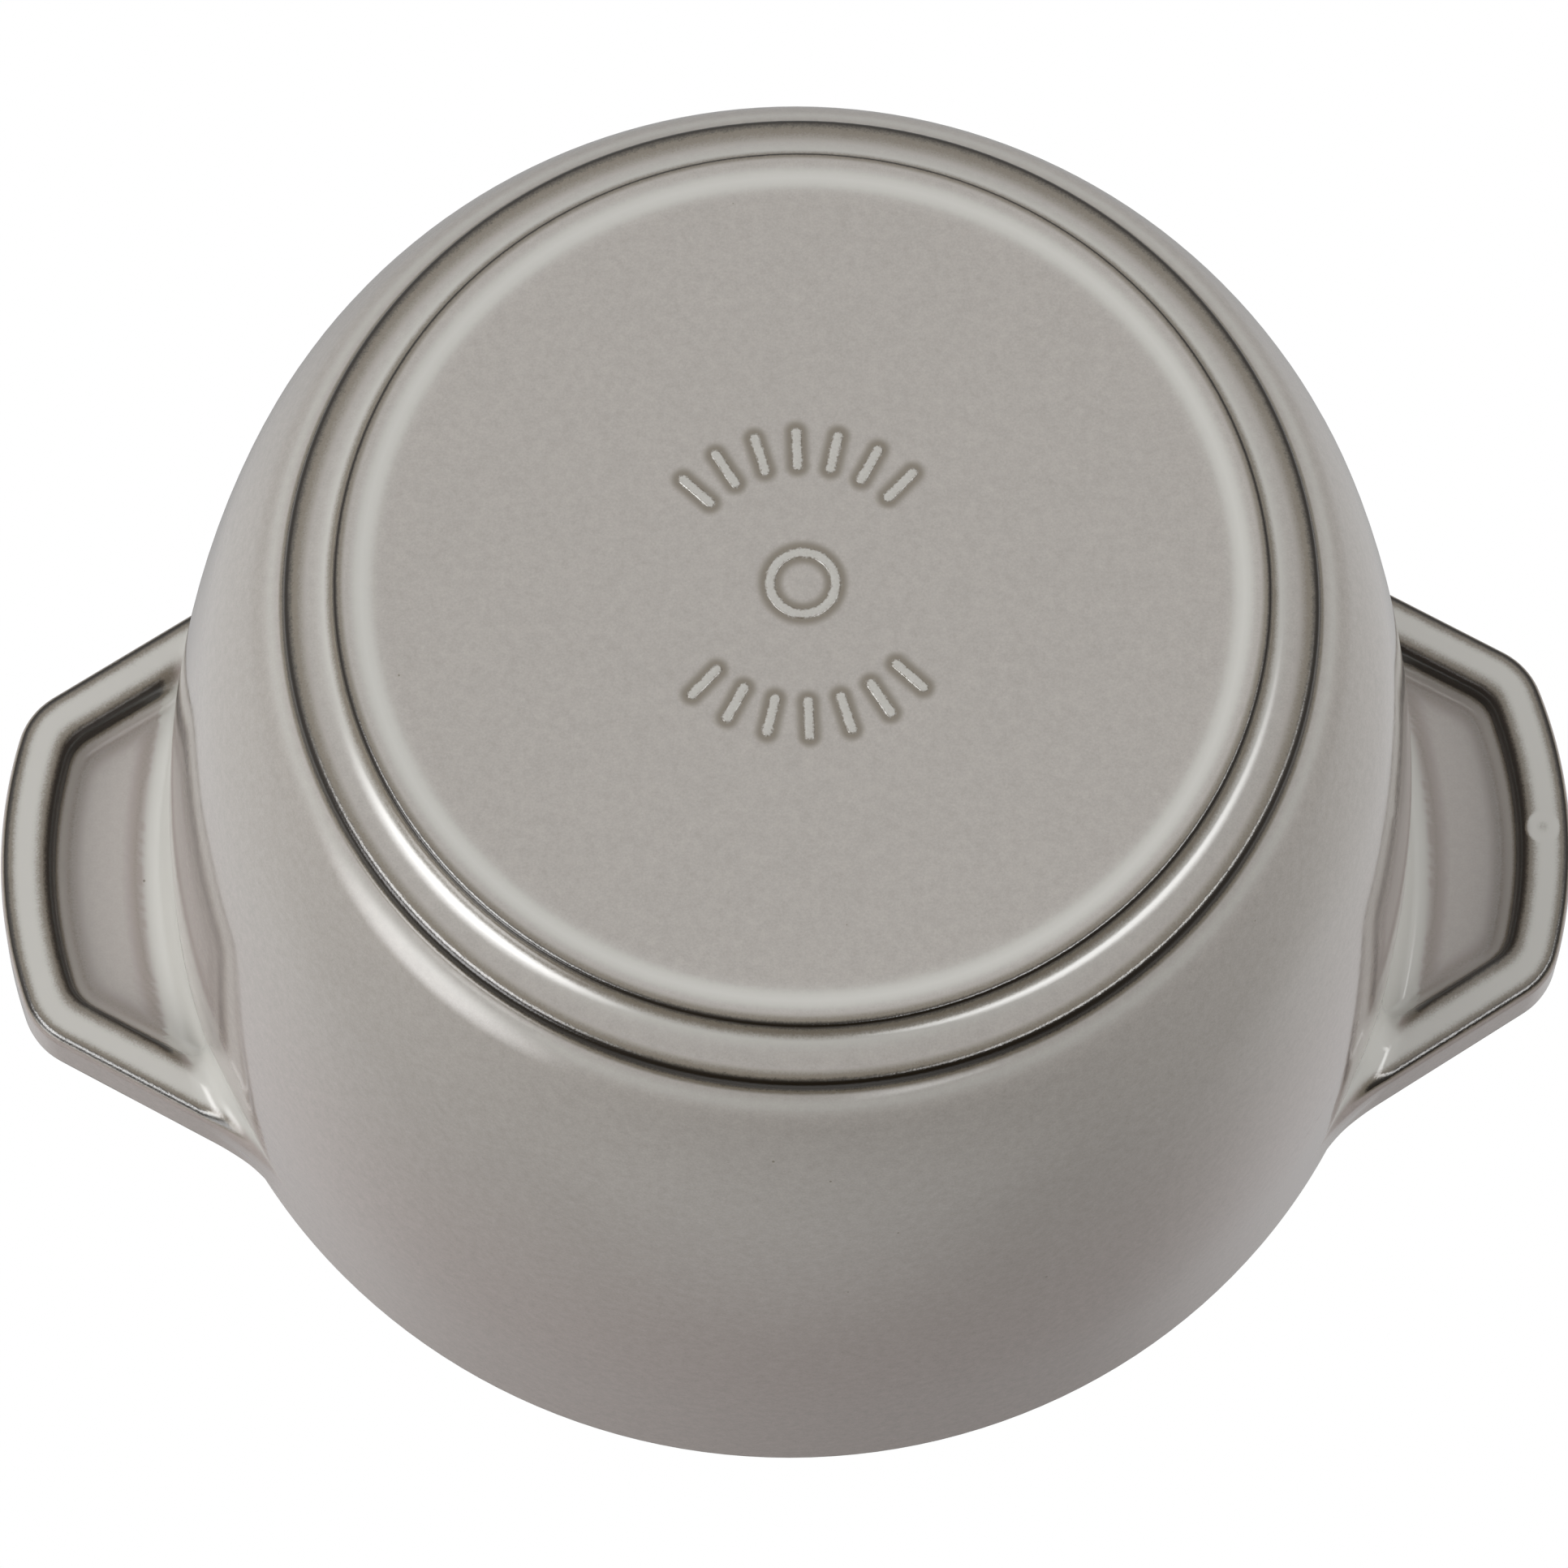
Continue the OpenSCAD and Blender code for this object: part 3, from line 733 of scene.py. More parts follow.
    def distance(self, r, angle, z):
        """Distance outside the wall and the handle, with a cove between them."""
        wall = self.pot.wall_distance(r, z)
        inset = self.plan_distance(r * np.cos(angle), r * np.sin(angle))
        tab = self.section_distance(inset, z, r - self.pot.radius)
        cove = self.cove + (TOP_COVE - self.cove) * ease(*COVE_CHANGE, z - self.roof)
        cove = cove + (ROOT_COVE - cove) * ease(*ROOT_FADE, np.degrees(np.abs(angle)))
        u, v = np.maximum(cove - wall, 0), np.maximum(cove - tab, 0)
        return np.maximum(cove, np.minimum(wall, tab)) - np.hypot(u, v)

    def slope(self, r, angle, z, step=0.02):
        """Gradient of the distance outwards, around and upwards."""
        out = (self.distance(r + step, angle, z) - self.distance(r - step, angle, z)) / (2 * step)
        up = (self.distance(r, angle, z + step) - self.distance(r, angle, z - step)) / (2 * step)
        turn = step / r
        around = (self.distance(r, angle + turn, z) - self.distance(r, angle - turn, z)) / (2 * step)
        return out, around, up

    def trace(self, angles):
        """Lines of the surface in upright planes through the axis: from the nose down, and from it up."""
        r = np.full(len(angles), self.pot.radius + TRACE_START)
        z = np.full(len(angles), self.middle)
        for _ in range(TRACE_ROUNDS):
            r = r - TRACE_SHARE * self.distance(r, angles, z)
        down = self.follow(r, angles, z, -1, lambda rr, zz: zz < BAND_LOW)
        up = self.follow(r, angles, z, 1, lambda rr, zz: rr < self.pot.radius - RIM_END)
        return down, up

    def follow(self, r, angles, z, way, ended):
        """Steps along the surface until every line has ended, one step past its end."""
        lines = [np.stack([r, z], axis=1)]
        stops = np.full(len(angles), -1)
        for step in range(1, MOST_STRIDES):
            out, _, up = self.slope(r, angles, z)
            size = np.maximum(np.hypot(out, up), TINY)
            r, z = r - way * STRIDE * up / size, z + way * STRIDE * out / size
            for _ in range(SETTLE_ROUNDS):
                out, _, up = self.slope(r, angles, z)
                size = np.maximum(out * out + up * up, LEAST_SLOPE)
                miss = self.distance(r, angles, z) / size
                r, z = r - miss * out, z - miss * up
            lines.append(np.stack([r, z], axis=1))
            stops = np.where((stops < 0) & ended(r, z), step, stops)
            if (stops > 0).all():
                break
        else:
            raise RuntimeError("a line of the handle's surface has no end")
        lines = np.stack(lines)
        return [lines[:stop + 1, k] for k, stop in enumerate(stops)]


def clip_line(line, axis, limit):
    """The line with its last point moved back to where it crosses the limit."""
    a, b = line[-2], line[-1]
    share = (limit - a[axis]) / (b[axis] - a[axis])
    line = line.copy()
    line[-1] = a + share * (b - a)
    return line


def band_rows(down, up):
    """Rows of the band around the handles along one line, from below the handle to the flat of the rim."""
    whole = np.concatenate([down[::-1], up[1:]])
    points, at, _, bend, glaze = read_path(whole)
    dose = count_rows(at, row_spacing(bend, at, BAND_ROWS, tightest=BAND_TIGHTEST))
    nose = np.linalg.norm(np.diff(down, axis=0), axis=1).sum()
    nose_dose = np.interp(nose, at, dose)
    wanted = np.concatenate([
        np.linspace(0, nose_dose, LOW_ROWS + 1),
        np.linspace(nose_dose, dose[-1], HIGH_ROWS + 1)[1:],
    ])
    places = np.interp(wanted, dose, at)
    table = np.column_stack([points, glaze])
    return np.stack([np.interp(places, at, column) for column in table.T], axis=1)


def band_half(shape):
    """Points, normals and glaze of the band, on lines from a handle's middle to the plain wall beside it."""
    count = int(round(HANDLE_SPAN * COLUMNS / 360)) * FINE
    angles = np.radians(np.linspace(0, HANDLE_SPAN, count + 1))
    down, up = shape.trace(angles)
    rows = []
    for low, high in zip(down, up):
        low = clip_line(low, 1, BAND_LOW)
        high = clip_line(high, 0, shape.pot.radius - RIM_END)
        rows.append(band_rows(low, high))
    rows = np.stack(rows)
    r, z = rows[..., 0], rows[..., 1]
    slope = np.stack(shape.slope(r, angles[:, None] + 0 * r, z), axis=-1)
    inset = shape.plan_distance(r * np.cos(angles[:, None]), r * np.sin(angles[:, None]))
    thin, pool = handle_glaze(shape, rows, inset, ease(*FACING_DOWN, -slope[..., 2]))
    return np.stack([r, z, thin, pool], axis=-1), slope


def handle_glaze(shape, rows, inset, facing_down):
    """How thin and how pooled the glaze is on the band, from the distance inside a handle's outline. The
    same values carry painted light on the flat of the lips and painted shade on the finger pocket walls.
    """
    r, z, on_edge, _, hollow = np.moveaxis(rows, -1, 0)
    from_wall = r - shape.pot.radius
    past_lip = inset - shape.lip
    low_side = z < shape.roof + UNDERSIDE_TOP
    in_pocket = low_side & (past_lip > -2 * LIP_EDGE)

    inner_line = ease(*LIP_LINE, past_lip) * ease(*LINE_FOOT, past_lip) * ease(*LINE_END, from_wall)
    outer_line = ease(*OUTER_LINE, inset) * ease(*OUTER_FADE, inset) ** 2 * ease(*OUTER_END, from_wall)
    outer_line *= z < shape.low + HANDLE_EDGE
    thin = np.where(low_side, np.maximum(inner_line, outer_line), ease(*TOP_LINE, on_edge))

    # Painted shade: pocket walls that don't face down are darkened towards brown, and paled a little
    side = in_pocket * ease(*SIDE_END, from_wall - shape.cove) * (1 - facing_down)
    side_shade, side_pool = POCKET_WALL_SHADE_AND_POOL
    thin = np.maximum(thin, side_shade * side)

    # A darker brown band on the pocket floor beside its wall, paler towards the floor's middle
    from_side = past_lip - POCKET_DRAFT - POCKET_FILLET / 2
    on_floor = np.minimum(from_side, from_wall - shape.cove)
    floor = ease(*FLOOR_EDGE, on_floor) * facing_down * (z > shape.roof - FLOOR_DROP)
    floor_width, floor_darkening = FLOOR_DARK_BAND
    middle = ease(FLOOR_EDGE[1], floor_width, on_floor)
    thin = np.maximum(thin, floor_darkening * floor * (1 - middle))

    # Painted light: the flat of each lip that faces down is paled, less so near the wall
    lip_height, lip_painted_light = LIP_PAINTED_LIGHT
    root_share, root_run = LIP_LIGHT_AT_ROOT
    on_lip = ease(lip_height, 0, z - shape.low) * facing_down
    pool = hollow * np.where(in_pocket & (from_wall > shape.cove), POCKET_POOL, 1)
    pool += side_pool * side + FLOOR_POOL * floor * middle
    pool += lip_painted_light * on_lip * (root_share + (1 - root_share) * ease(0, root_run, from_wall))
    return thin, pool


def add_band(parts, shape):
    """The band around the rim with both handles. Gives its rings and which of its columns are wide ones."""
    rows, slope = band_half(shape)
    last = len(rows) - 1
    step = 360 / COLUMNS / FINE
    columns, wide = [], []
    for k in range(COLUMNS * FINE):
        degrees = k * step
        side = (degrees + 90) % 180 - 90
        on_wide = k % FINE == 0
        if abs(side) > HANDLE_SPAN - TINY and not on_wide:
            continue
        if on_wide:
            wide.append(len(columns))
        line = min(last, int(round(abs(side) / step)))
        columns.append((math.radians(degrees), line, math.copysign(1, side)))
    turn, line, way = (np.array(values) for values in zip(*columns))
    c, s = np.cos(turn), np.sin(turn)
    rings = []
    for i in range(rows.shape[1]):
        r, z = rows[line, i, 0], rows[line, i, 1]
        out, around, up = (slope[line, i, k] for k in range(3))
        around = around * way
        points = np.stack([r * c, r * s, z], axis=1)
        normals = np.stack([out * c - around * s, out * s + around * c, up], axis=1)
        start = parts.add(points, normals, rows[line, i, 2:])
        rings.append(np.arange(start, start + len(columns)))
    return rings, wide


def join_rings(parts, wide_ring, fine_ring, wide, fine_above, finish=0):
    """Faces between a ring of wide columns and one that has fine columns between some of them."""
    count = len(fine_ring)
    for k in range(len(wide_ring)):
        n = (k + 1) % len(wide_ring)
        first = wide[k]
        last = wide[n] if n else count
        chain = [fine_ring[i % count] for i in range(first, last + 1)]
        if fine_above:
            parts.face([wide_ring[k], wide_ring[n], *chain[::-1]], finish)
        else:
            parts.face([*chain, wide_ring[n], wide_ring[k]], finish)


def build_pot(sizes, handle_sizes, enamel, inside):
    """The pot with its handles: grey enamel outside, black from the flat of the rim inwards."""
    pot = PotShape(sizes)
    shape = HandleShape(pot, handle_sizes)
    parts = MeshParts()
    lower = pot.turn_outside(parts)
    band, wide = add_band(parts, shape)
    join_rings(parts, lower[-1], band[0], wide, True)
    rim_start = LOW_ROWS + HIGH_ROWS - RIM_ROWS
    for i in range(len(band) - 1):
        parts.bridge(band[i], band[i + 1], 1 if i >= rim_start else 0)
    inner_rows = lay_rows(pot.inside(), INSIDE_ROWS)
    inner = parts.turn(inner_rows, [1] * len(inner_rows))
    join_rings(parts, inner[0], band[-1], wide, False, 1)
    return parts.make("cocotte_pot", [enamel, inside])


# Shape of the lid, the knob and its fixing

LEDGE = 6.5
LID_EDGE_HEIGHT = 4.8
RISER_HEIGHT = 4.5
RISER_RUN = 4.5
RISER_FILLET = 3.0
LID_TOP_EDGE = 2.4
LID_LOW_EDGE = 0.4
SPIGOT_HEIGHT = 4.0
SPIGOT_WALL = 3.5
SPIGOT_GAP = 0.8
SPIGOT_EDGE = 1.0
BOSS_RADIUS = 13.0
BOSS_HEIGHT = 1.2
BOSS_EDGE = 1.0
HOLE_RADIUS = 3.3
HOLE_EDGE = 0.3
HOLE_LAP = 0.5
SEAT_FILLET = 0.3
SEAT_LAP = 0.05
GREY_EDGE = 0.3
UNDER_FACING = -0.2
CROWN_STEPS = 160
LID_ROWS = 3.0


class LidShape:
    """Heights and circles that the lid's section is drawn from."""

    def __init__(self, pot_sizes, sizes):
        self.seat = pot_sizes.height / MM
        self.mouth = pot_sizes.mouth_radius / MM
        self.radius = sizes.radius / MM
        self.thick = sizes.thickness / MM
        self.rise = sizes.crown_rise / MM
        self.ledge = self.seat + LID_EDGE_HEIGHT
        self.crown_z = self.ledge + RISER_HEIGHT
        self.crown_r = self.radius - LEDGE - RISER_RUN
        self.crown = (self.crown_r ** 2 + self.rise ** 2) / (2 * self.rise)
        self.centre = (0, self.crown_z + self.rise - self.crown)
        self.boss_top = self.crown_z + self.rise + BOSS_HEIGHT
        self.boss_low = self.crown_z + self.rise - self.thick - BOSS_HEIGHT

    def under(self, r):
        """Height of the lid's underside at a distance from its middle."""
        return self.centre[1] + math.sqrt((self.crown - self.thick) ** 2 - r * r)

    def section(self):
        """Closed section, from the hole out under the lid, over the spigot and back over the top."""
        normal = unit(np.array([-RISER_HEIGHT, -RISER_RUN]))
        low = np.array([self.crown_r, self.crown_z]) + self.thick * normal
        outer = self.mouth - SPIGOT_GAP
        inner = outer - SPIGOT_WALL
        foot = self.seat - SPIGOT_HEIGHT
        low_z = low[1] - (inner - low[0]) * RISER_HEIGHT / RISER_RUN
        below = self.crown - self.thick
        under_z = self.under(low[0])
        under = (low[0] + (low[1] - under_z) * RISER_RUN / RISER_HEIGHT, under_z)
        boss_a = math.degrees(math.asin(BOSS_RADIUS / below))
        rim_a = math.degrees(math.asin((low[0] - RISER_FILLET) / below))
        top_boss_a = math.degrees(math.asin(BOSS_RADIUS / self.crown))
        top_rim_a = math.degrees(math.asin((self.crown_r - RISER_FILLET) / self.crown))
        ledge = (self.crown_r + RISER_RUN, self.ledge)
        crown = (self.crown_r, self.crown_z)
        step = BOSS_RADIUS - BOSS_HEIGHT
        under_arc = arc(self.centre, below, 90 - boss_a, 90 - rim_a, CROWN_STEPS)
        top_arc = arc(self.centre, self.crown, 90 - top_rim_a, 90 - top_boss_a, CROWN_STEPS)
        hole_low, hole_top = (HOLE_RADIUS, self.boss_low), (HOLE_RADIUS, self.boss_top)
        return np.concatenate([
            [[HOLE_RADIUS, (self.boss_low + self.boss_top) / 2]],
            rounded(hole_top, hole_low, (step, self.boss_low), HOLE_EDGE),
            rounded(hole_low, (step, self.boss_low), under_arc[0], BOSS_EDGE),
            under_arc,
            rounded((0, under_z), under, (inner, low_z), RISER_FILLET),
            rounded(under, (inner, low_z), (inner, foot), RISER_FILLET / 2),
            rounded((inner, self.seat), (inner, foot), (outer, foot), SPIGOT_EDGE),
            rounded((inner, foot), (outer, foot), (outer, self.seat), SPIGOT_EDGE),
            rounded((outer, foot), (outer, self.seat), (self.radius, self.seat), SEAT_FILLET),
            rounded((outer, self.seat), (self.radius, self.seat), (self.radius, self.ledge), LID_LOW_EDGE),
            rounded((self.radius, self.seat), (self.radius, self.ledge), ledge, LID_TOP_EDGE),
            rounded((self.radius, self.ledge), ledge, crown, RISER_FILLET),
            rounded(ledge, crown, (0, self.crown_z + self.rise), RISER_FILLET),
            top_arc,
            rounded(top_arc[-1], (step, self.boss_top), hole_top, BOSS_EDGE),
            rounded((step, self.boss_top), hole_top, hole_low, HOLE_EDGE),
            [[HOLE_RADIUS, (self.boss_low + self.boss_top) / 2]],
        ])


def build_lid(shape, enamel, inside):
    """The lid: grey enamel above, and black below and in its hole."""
    rows = lay_rows(shape.section(), LID_ROWS, closed=True)
    r, z, facing_up = rows[:, 0], rows[:, 1], rows[:, 3]
    below = (r < shape.radius - GREY_EDGE) & (z < shape.seat + SEAT_LAP)
    black = below | (facing_up < UNDER_FACING) | (r < HOLE_RADIUS + HOLE_LAP)
    parts = MeshParts()
    parts.turn(rows, black.astype(int), closed=True)
    return parts.make("cocotte_lid", [enamel, inside])


KNOB_HEAD = 9.0
KNOB_NECK = 8.0
KNOB_FOOT = 11.0
KNOB_FOOT_HEIGHT = 2.4
KNOB_SLOPE = 2.4
KNOB_FLARE = 4.0
KNOB_BRIM = 2.4
KNOB_DOME = 0.2
KNOB_CROWN = 1.5
BORE_RADIUS = 3.05
BORE_DEPTH = 13.0
BORE_END_EDGE = 0.2
BORE_EDGE = 0.3
KNOB_SEAT_EDGE = 0.4
KNOB_FOOT_EDGE = 1.0
KNOB_FILLET = 2.0
KNOB_ROWS = 1.5
KNOB_COLUMNS = 128
SCREW_RADIUS = 3.0
SCREW_BITE = 11.0
HEAD_RADIUS = 5.5
HEAD_HEIGHT = 3.4
HEAD_DOME = 1.6
HEAD_CROWN = (0.6, 0.12, 4.0)
HEAD_SIDE = 0.6
HEAD_EDGE = 0.25
HEAD_ROWS = 1.0
HEAD_COLUMNS = 96
SHANK_SINK = 0.4
SHANK_TIP = 0.8
SLOT_LENGTH = 18.0
SLOT_SPARE = 2.0
SLOT_WIDTH = 1.6
SLOT_DEPTH = 1.5
THREAD_PITCH = 1.0
THREAD_DEPTH = 0.5
THREAD_START = 1.2
THREAD_ROWS = 12
WASHER_THICK = 1.5
WASHER_RADIUS = 5.8
WASHER_HOLE = 3.2
WASHER_SPLIT = 1.2
WASHER_RISE = 0.22
WASHER_EDGE = 0.25
WASHER_THINNING = 4


def build_knob(shape, sizes, nickel):
    """The turned knob with the bore for its screw."""
    seat = shape.boss_top
    top = seat + sizes.knob_height / MM
    head = sizes.knob_radius / MM
    foot_top = seat + KNOB_FOOT_HEIGHT
    brim = top - KNOB_HEAD
    path = soft_path([
        (0, seat + BORE_DEPTH, 0),
        (BORE_RADIUS, seat + BORE_DEPTH, BORE_END_EDGE),
        (BORE_RADIUS, seat, BORE_EDGE),
        (KNOB_FOOT, seat, KNOB_SEAT_EDGE),
        (KNOB_FOOT, foot_top, KNOB_FOOT_EDGE),
        (KNOB_NECK, foot_top + KNOB_SLOPE, KNOB_FILLET),
        (KNOB_NECK, brim - KNOB_FLARE, KNOB_FLARE),
        (head - KNOB_BRIM, brim, KNOB_BRIM),
        (head, brim + KNOB_BRIM, KNOB_BRIM),
        (head - KNOB_BRIM / 2, top - KNOB_BRIM, KNOB_BRIM),
        (head / 2, top - KNOB_DOME, head / KNOB_CROWN),
        (0, top, 0),
    ])
    parts = MeshParts()
    parts.turn(lay_rows(path, KNOB_ROWS), columns=KNOB_COLUMNS)
    return parts.make("lid_knob", [nickel])


def shell(name, points, faces):
    """A plain mesh object in metres, with smooth faces."""
    mesh = bpy.data.meshes.new(name)
    mesh.from_pydata((np.asarray(points, float) * MM).tolist(), [], faces, shade_flat=False)
    mesh.update()
    return place(name, mesh)


def cut_or_join(piece, tool, way):
    """Adds a tool's shape to a piece or takes it away, and removes the tool."""
    modifier = piece.modifiers.new("shape", "BOOLEAN")
    modifier.operation = way
    modifier.solver = "EXACT"
    modifier.object = tool
    bake(piece)
    bpy.data.objects.remove(tool)


def bake(piece):
    """Turns a piece's modifiers into a plain mesh."""
    bpy.context.view_layer.update()
    ready = piece.evaluated_get(bpy.context.evaluated_depsgraph_get())
    mesh = bpy.data.meshes.new_from_object(ready)
    piece.modifiers.clear()
    piece.data = mesh
    mesh.name = piece.name


def box_tool(name, low, high):
    """A plain box between two corners."""
    corners = [(x, y, z) for z in (low[2], high[2]) for y in (low[1], high[1]) for x in (low[0], high[0])]
    faces = [(0, 2, 3, 1), (4, 5, 7, 6), (0, 1, 5, 4), (2, 6, 7, 3), (0, 4, 6, 2), (1, 3, 7, 5)]
    return shell(name, corners, faces)


def threaded_shank(low, high, columns=64):
    """A screw's shank whose thread fades out at both ends."""
    steps = int((high - low) / THREAD_PITCH * THREAD_ROWS)
    heights = np.linspace(low, high, steps + 1)
    angles = np.linspace(0, 2 * math.pi, columns, endpoint=False)
    z, a = np.meshgrid(heights, angles, indexing="ij")
    wave = np.abs(((z / THREAD_PITCH - a / (2 * math.pi)) % 1) - 0.5) * 2
    fade = ease(low, low + THREAD_START, z) * ease(high, high - SHANK_TIP, z)
    r = SCREW_RADIUS - THREAD_DEPTH * wave * fade - SHANK_TIP * ease(high - SHANK_TIP, high, z)
    points = np.stack([r * np.cos(a), r * np.sin(a), z], axis=-1).reshape(-1, 3).tolist()
    faces = []
    for i in range(steps):
        for k in range(columns):
            n = (k + 1) % columns
            row, above = i * columns, (i + 1) * columns
            faces.append((row + k, row + n, above + n, above + k))
    faces.append(tuple(range(columns))[::-1])
    faces.append(tuple(range(steps * columns, (steps + 1) * columns)))
    return shell("shank", points, faces)


def build_screw(shape, steel):
    """The slotted screw that holds the knob from under the lid."""
    head_top = shape.boss_low - WASHER_THICK
    head_low = head_top - HEAD_HEIGHT
    share, crown, crown_round = HEAD_CROWN
    path = soft_path([
        (0, head_low, 0),
        (HEAD_RADIUS * share, head_low + crown, crown_round),
        (HEAD_RADIUS, head_low + HEAD_SIDE, HEAD_DOME),
        (HEAD_RADIUS, head_top, HEAD_EDGE),
        (0, head_top, 0),
    ])
    parts = MeshParts()
    parts.turn(lay_rows(path, HEAD_ROWS), columns=HEAD_COLUMNS)
    screw = parts.make("knob_fixing", [steel])
    cut_or_join(screw, threaded_shank(head_top - SHANK_SINK, shape.boss_top + SCREW_BITE), "UNION")
    slot_low = (-SLOT_LENGTH / 2, -SLOT_WIDTH / 2, head_low - SLOT_SPARE)
    slot_high = (SLOT_LENGTH / 2, SLOT_WIDTH / 2, head_low + SLOT_DEPTH)
    cut_or_join(screw, box_tool("slot", slot_low, slot_high), "DIFFERENCE")
    screw.data.materials.clear()
    screw.data.materials.append(steel)
    screw.data.polygons.foreach_set("material_index", np.zeros(len(screw.data.polygons), np.int32))
    return screw


def build_washer(shape, steel, steps=96):
    """A split ring that climbs slightly from one end to the other."""
    low = shape.boss_low - WASHER_THICK
    high = shape.boss_low - WASHER_RISE
    section = soft_path([
        (WASHER_HOLE, low, WASHER_EDGE),
        (WASHER_RADIUS, low, WASHER_EDGE),
        (WASHER_RADIUS, high, WASHER_EDGE),
        (WASHER_HOLE, high, WASHER_EDGE),
    ], closed=True)[:-1:WASHER_THINNING]
    count = len(section)
    gap = WASHER_SPLIT / 2 / (WASHER_HOLE + WASHER_RADIUS) * 2
    points, faces = [], []
    for i in range(steps + 1):
        share = i / steps
        turn = gap + (2 * math.pi - 2 * gap) * share
        for r, z in section:
            points.append((r * math.cos(turn), r * math.sin(turn), z + WASHER_RISE * share))
    for i in range(steps):
        for k in range(count):
            n = (k + 1) % count
            faces.append((i * count + k, (i + 1) * count + k, (i + 1) * count + n, i * count + n))
    faces.append(tuple(range(count)))
    faces.append(tuple(range(steps * count, (steps + 1) * count))[::-1])
    washer = shell("split_washer", points, faces)
    washer.data.materials.append(steel)
    return washer


# Repeated pieces made with geometry nodes

NUB_RINGS = 3
NUB_SINK = 0.2
NUB_FIRST_RING = 6
NUB_CUT = 0.45
NUB_SEGMENTS = 24
NUB_BALL_RINGS = 14


class Nodes:
    """A node tree under construction."""

    def __init__(self, tree):
        self.tree = tree

    def node(self, kind, links=None, **settings):
        """A new node with its settings, and with values or other nodes' outputs on its inputs."""
        made = self.tree.nodes.new(kind)
        for key, value in settings.items():
            setattr(made, key, value)
        for key, source in (links or {}).items():
            self.feed(source, made.inputs[key])
        return made

    def feed(self, source, target):
        """Links an output to an input, or sets the input to a value."""
        if isinstance(source, bpy.types.NodeSocket):
            self.tree.links.new(source, target)
        else:
            target.default_value = source

    def math(self, way, *values, clamp=False):
        """A step of arithmetic."""
        made = self.node("ShaderNodeMath", dict(enumerate(values)), operation=way)
        made.use_clamp = clamp
        return made.outputs[0]


class Tree(Nodes):
    """A geometry node tree with named inputs."""

    def __init__(self, name, inputs):
        super().__init__(bpy.data.node_groups.new(name, "GeometryNodeTree"))
        self.tree.interface.new_socket("Geometry", in_out="OUTPUT", socket_type="NodeSocketGeometry")
        self.values = {}
        for label, kind, value in inputs:
            socket = self.tree.interface.new_socket(label, in_out="INPUT", socket_type=kind)
            self.values[socket.identifier] = value
        self.input = self.tree.nodes.new("NodeGroupInput")
        self.output = self.tree.nodes.new("NodeGroupOutput")

    def join(self, sources):
        """One geometry of several."""
        made = self.tree.nodes.new("GeometryNodeJoinGeometry")
        for source in sources:
            self.tree.links.new(source, made.inputs[0])
        return made.outputs[0]

    def grow(self, name, shape, material):
        """Ends the tree in plain geometry with a material, and bakes it into a piece."""
        real = self.node("GeometryNodeRealizeInstances", {0: shape})
        painted = self.node("GeometryNodeSetMaterial", {"Geometry": real.outputs[0], "Material": material})
        self.tree.links.new(painted.outputs[0], self.output.inputs[0])
        piece = place(name, bpy.data.meshes.new(name))
        modifier = piece.modifiers.new("grow", "NODES")
        modifier.node_group = self.tree
        for identifier, value in self.values.items():
            modifier[identifier] = value
        bake(piece)
        if not len(piece.data.polygons):
            raise RuntimeError(name + " came out empty")
        return piece


def build_nubs(shape, sizes, material):
    """Rings of basting nubs under the lid: low domes whose tops lie inside the casting."""
    pitch, radius = sizes.nub_pitch, sizes.nub_radius
    inputs = [("Nub radius", "NodeSocketFloat", radius), ("Ring pitch", "NodeSocketFloat", pitch)]
    for k in range(1, NUB_RINGS + 1):
        height = (shape.under(pitch * k / MM) + NUB_SINK * radius / MM) * MM
        inputs.append((f"Height of ring {k}", "NodeSocketFloat", height))
    tree = Tree("basting_nub_rings", inputs)
    given = tree.input.outputs
    ball = tree.node("GeometryNodeMeshUVSphere", {
        "Segments": NUB_SEGMENTS, "Rings": NUB_BALL_RINGS, "Radius": given["Nub radius"]})
    position = tree.node("GeometryNodeInputPosition")
    apart = tree.node("ShaderNodeSeparateXYZ", {0: position.outputs[0]})
    level = tree.math("MINIMUM", apart.outputs[2], tree.math("MULTIPLY", given["Nub radius"], NUB_CUT))
    together = tree.node("ShaderNodeCombineXYZ", {0: apart.outputs[0], 1: apart.outputs[1], 2: level})
    dome = tree.node("GeometryNodeSetPosition", {
        "Geometry": ball.outputs[0], "Position": together.outputs[0]})
    smooth = tree.node("GeometryNodeSetShadeSmooth", {"Geometry": dome.outputs[0]})
    rings = []
    for k in range(1, NUB_RINGS + 1):
        circle = tree.node("GeometryNodeMeshCircle", {
            "Vertices": NUB_FIRST_RING * k, "Radius": tree.math("MULTIPLY", given["Ring pitch"], float(k))})
        lift = tree.node("ShaderNodeCombineXYZ", {2: given[f"Height of ring {k}"]})
        raised = tree.node("GeometryNodeTransform", {
            "Geometry": circle.outputs[0], "Translation": lift.outputs[0]})
        spread = tree.node("GeometryNodeInstanceOnPoints", {
            "Points": raised.outputs[0], "Instance": smooth.outputs[0]})
        rings.append(spread.outputs[0])
    return tree.grow("basting_nubs", tree.join(rings), material)


MARK_STEP = 15.0
MARK_REACH = 3
MARK_RADIUS = 18.5
MARK_BAR_LENGTH = 4.6
MARK_WIDTH = 1.3
MARK_HEIGHT = 0.16
MARK_RING = 4.2
MARK_SEGMENTS = 16
MARK_TIP_RINGS = 12
MARK_RING_SEGMENTS = 96


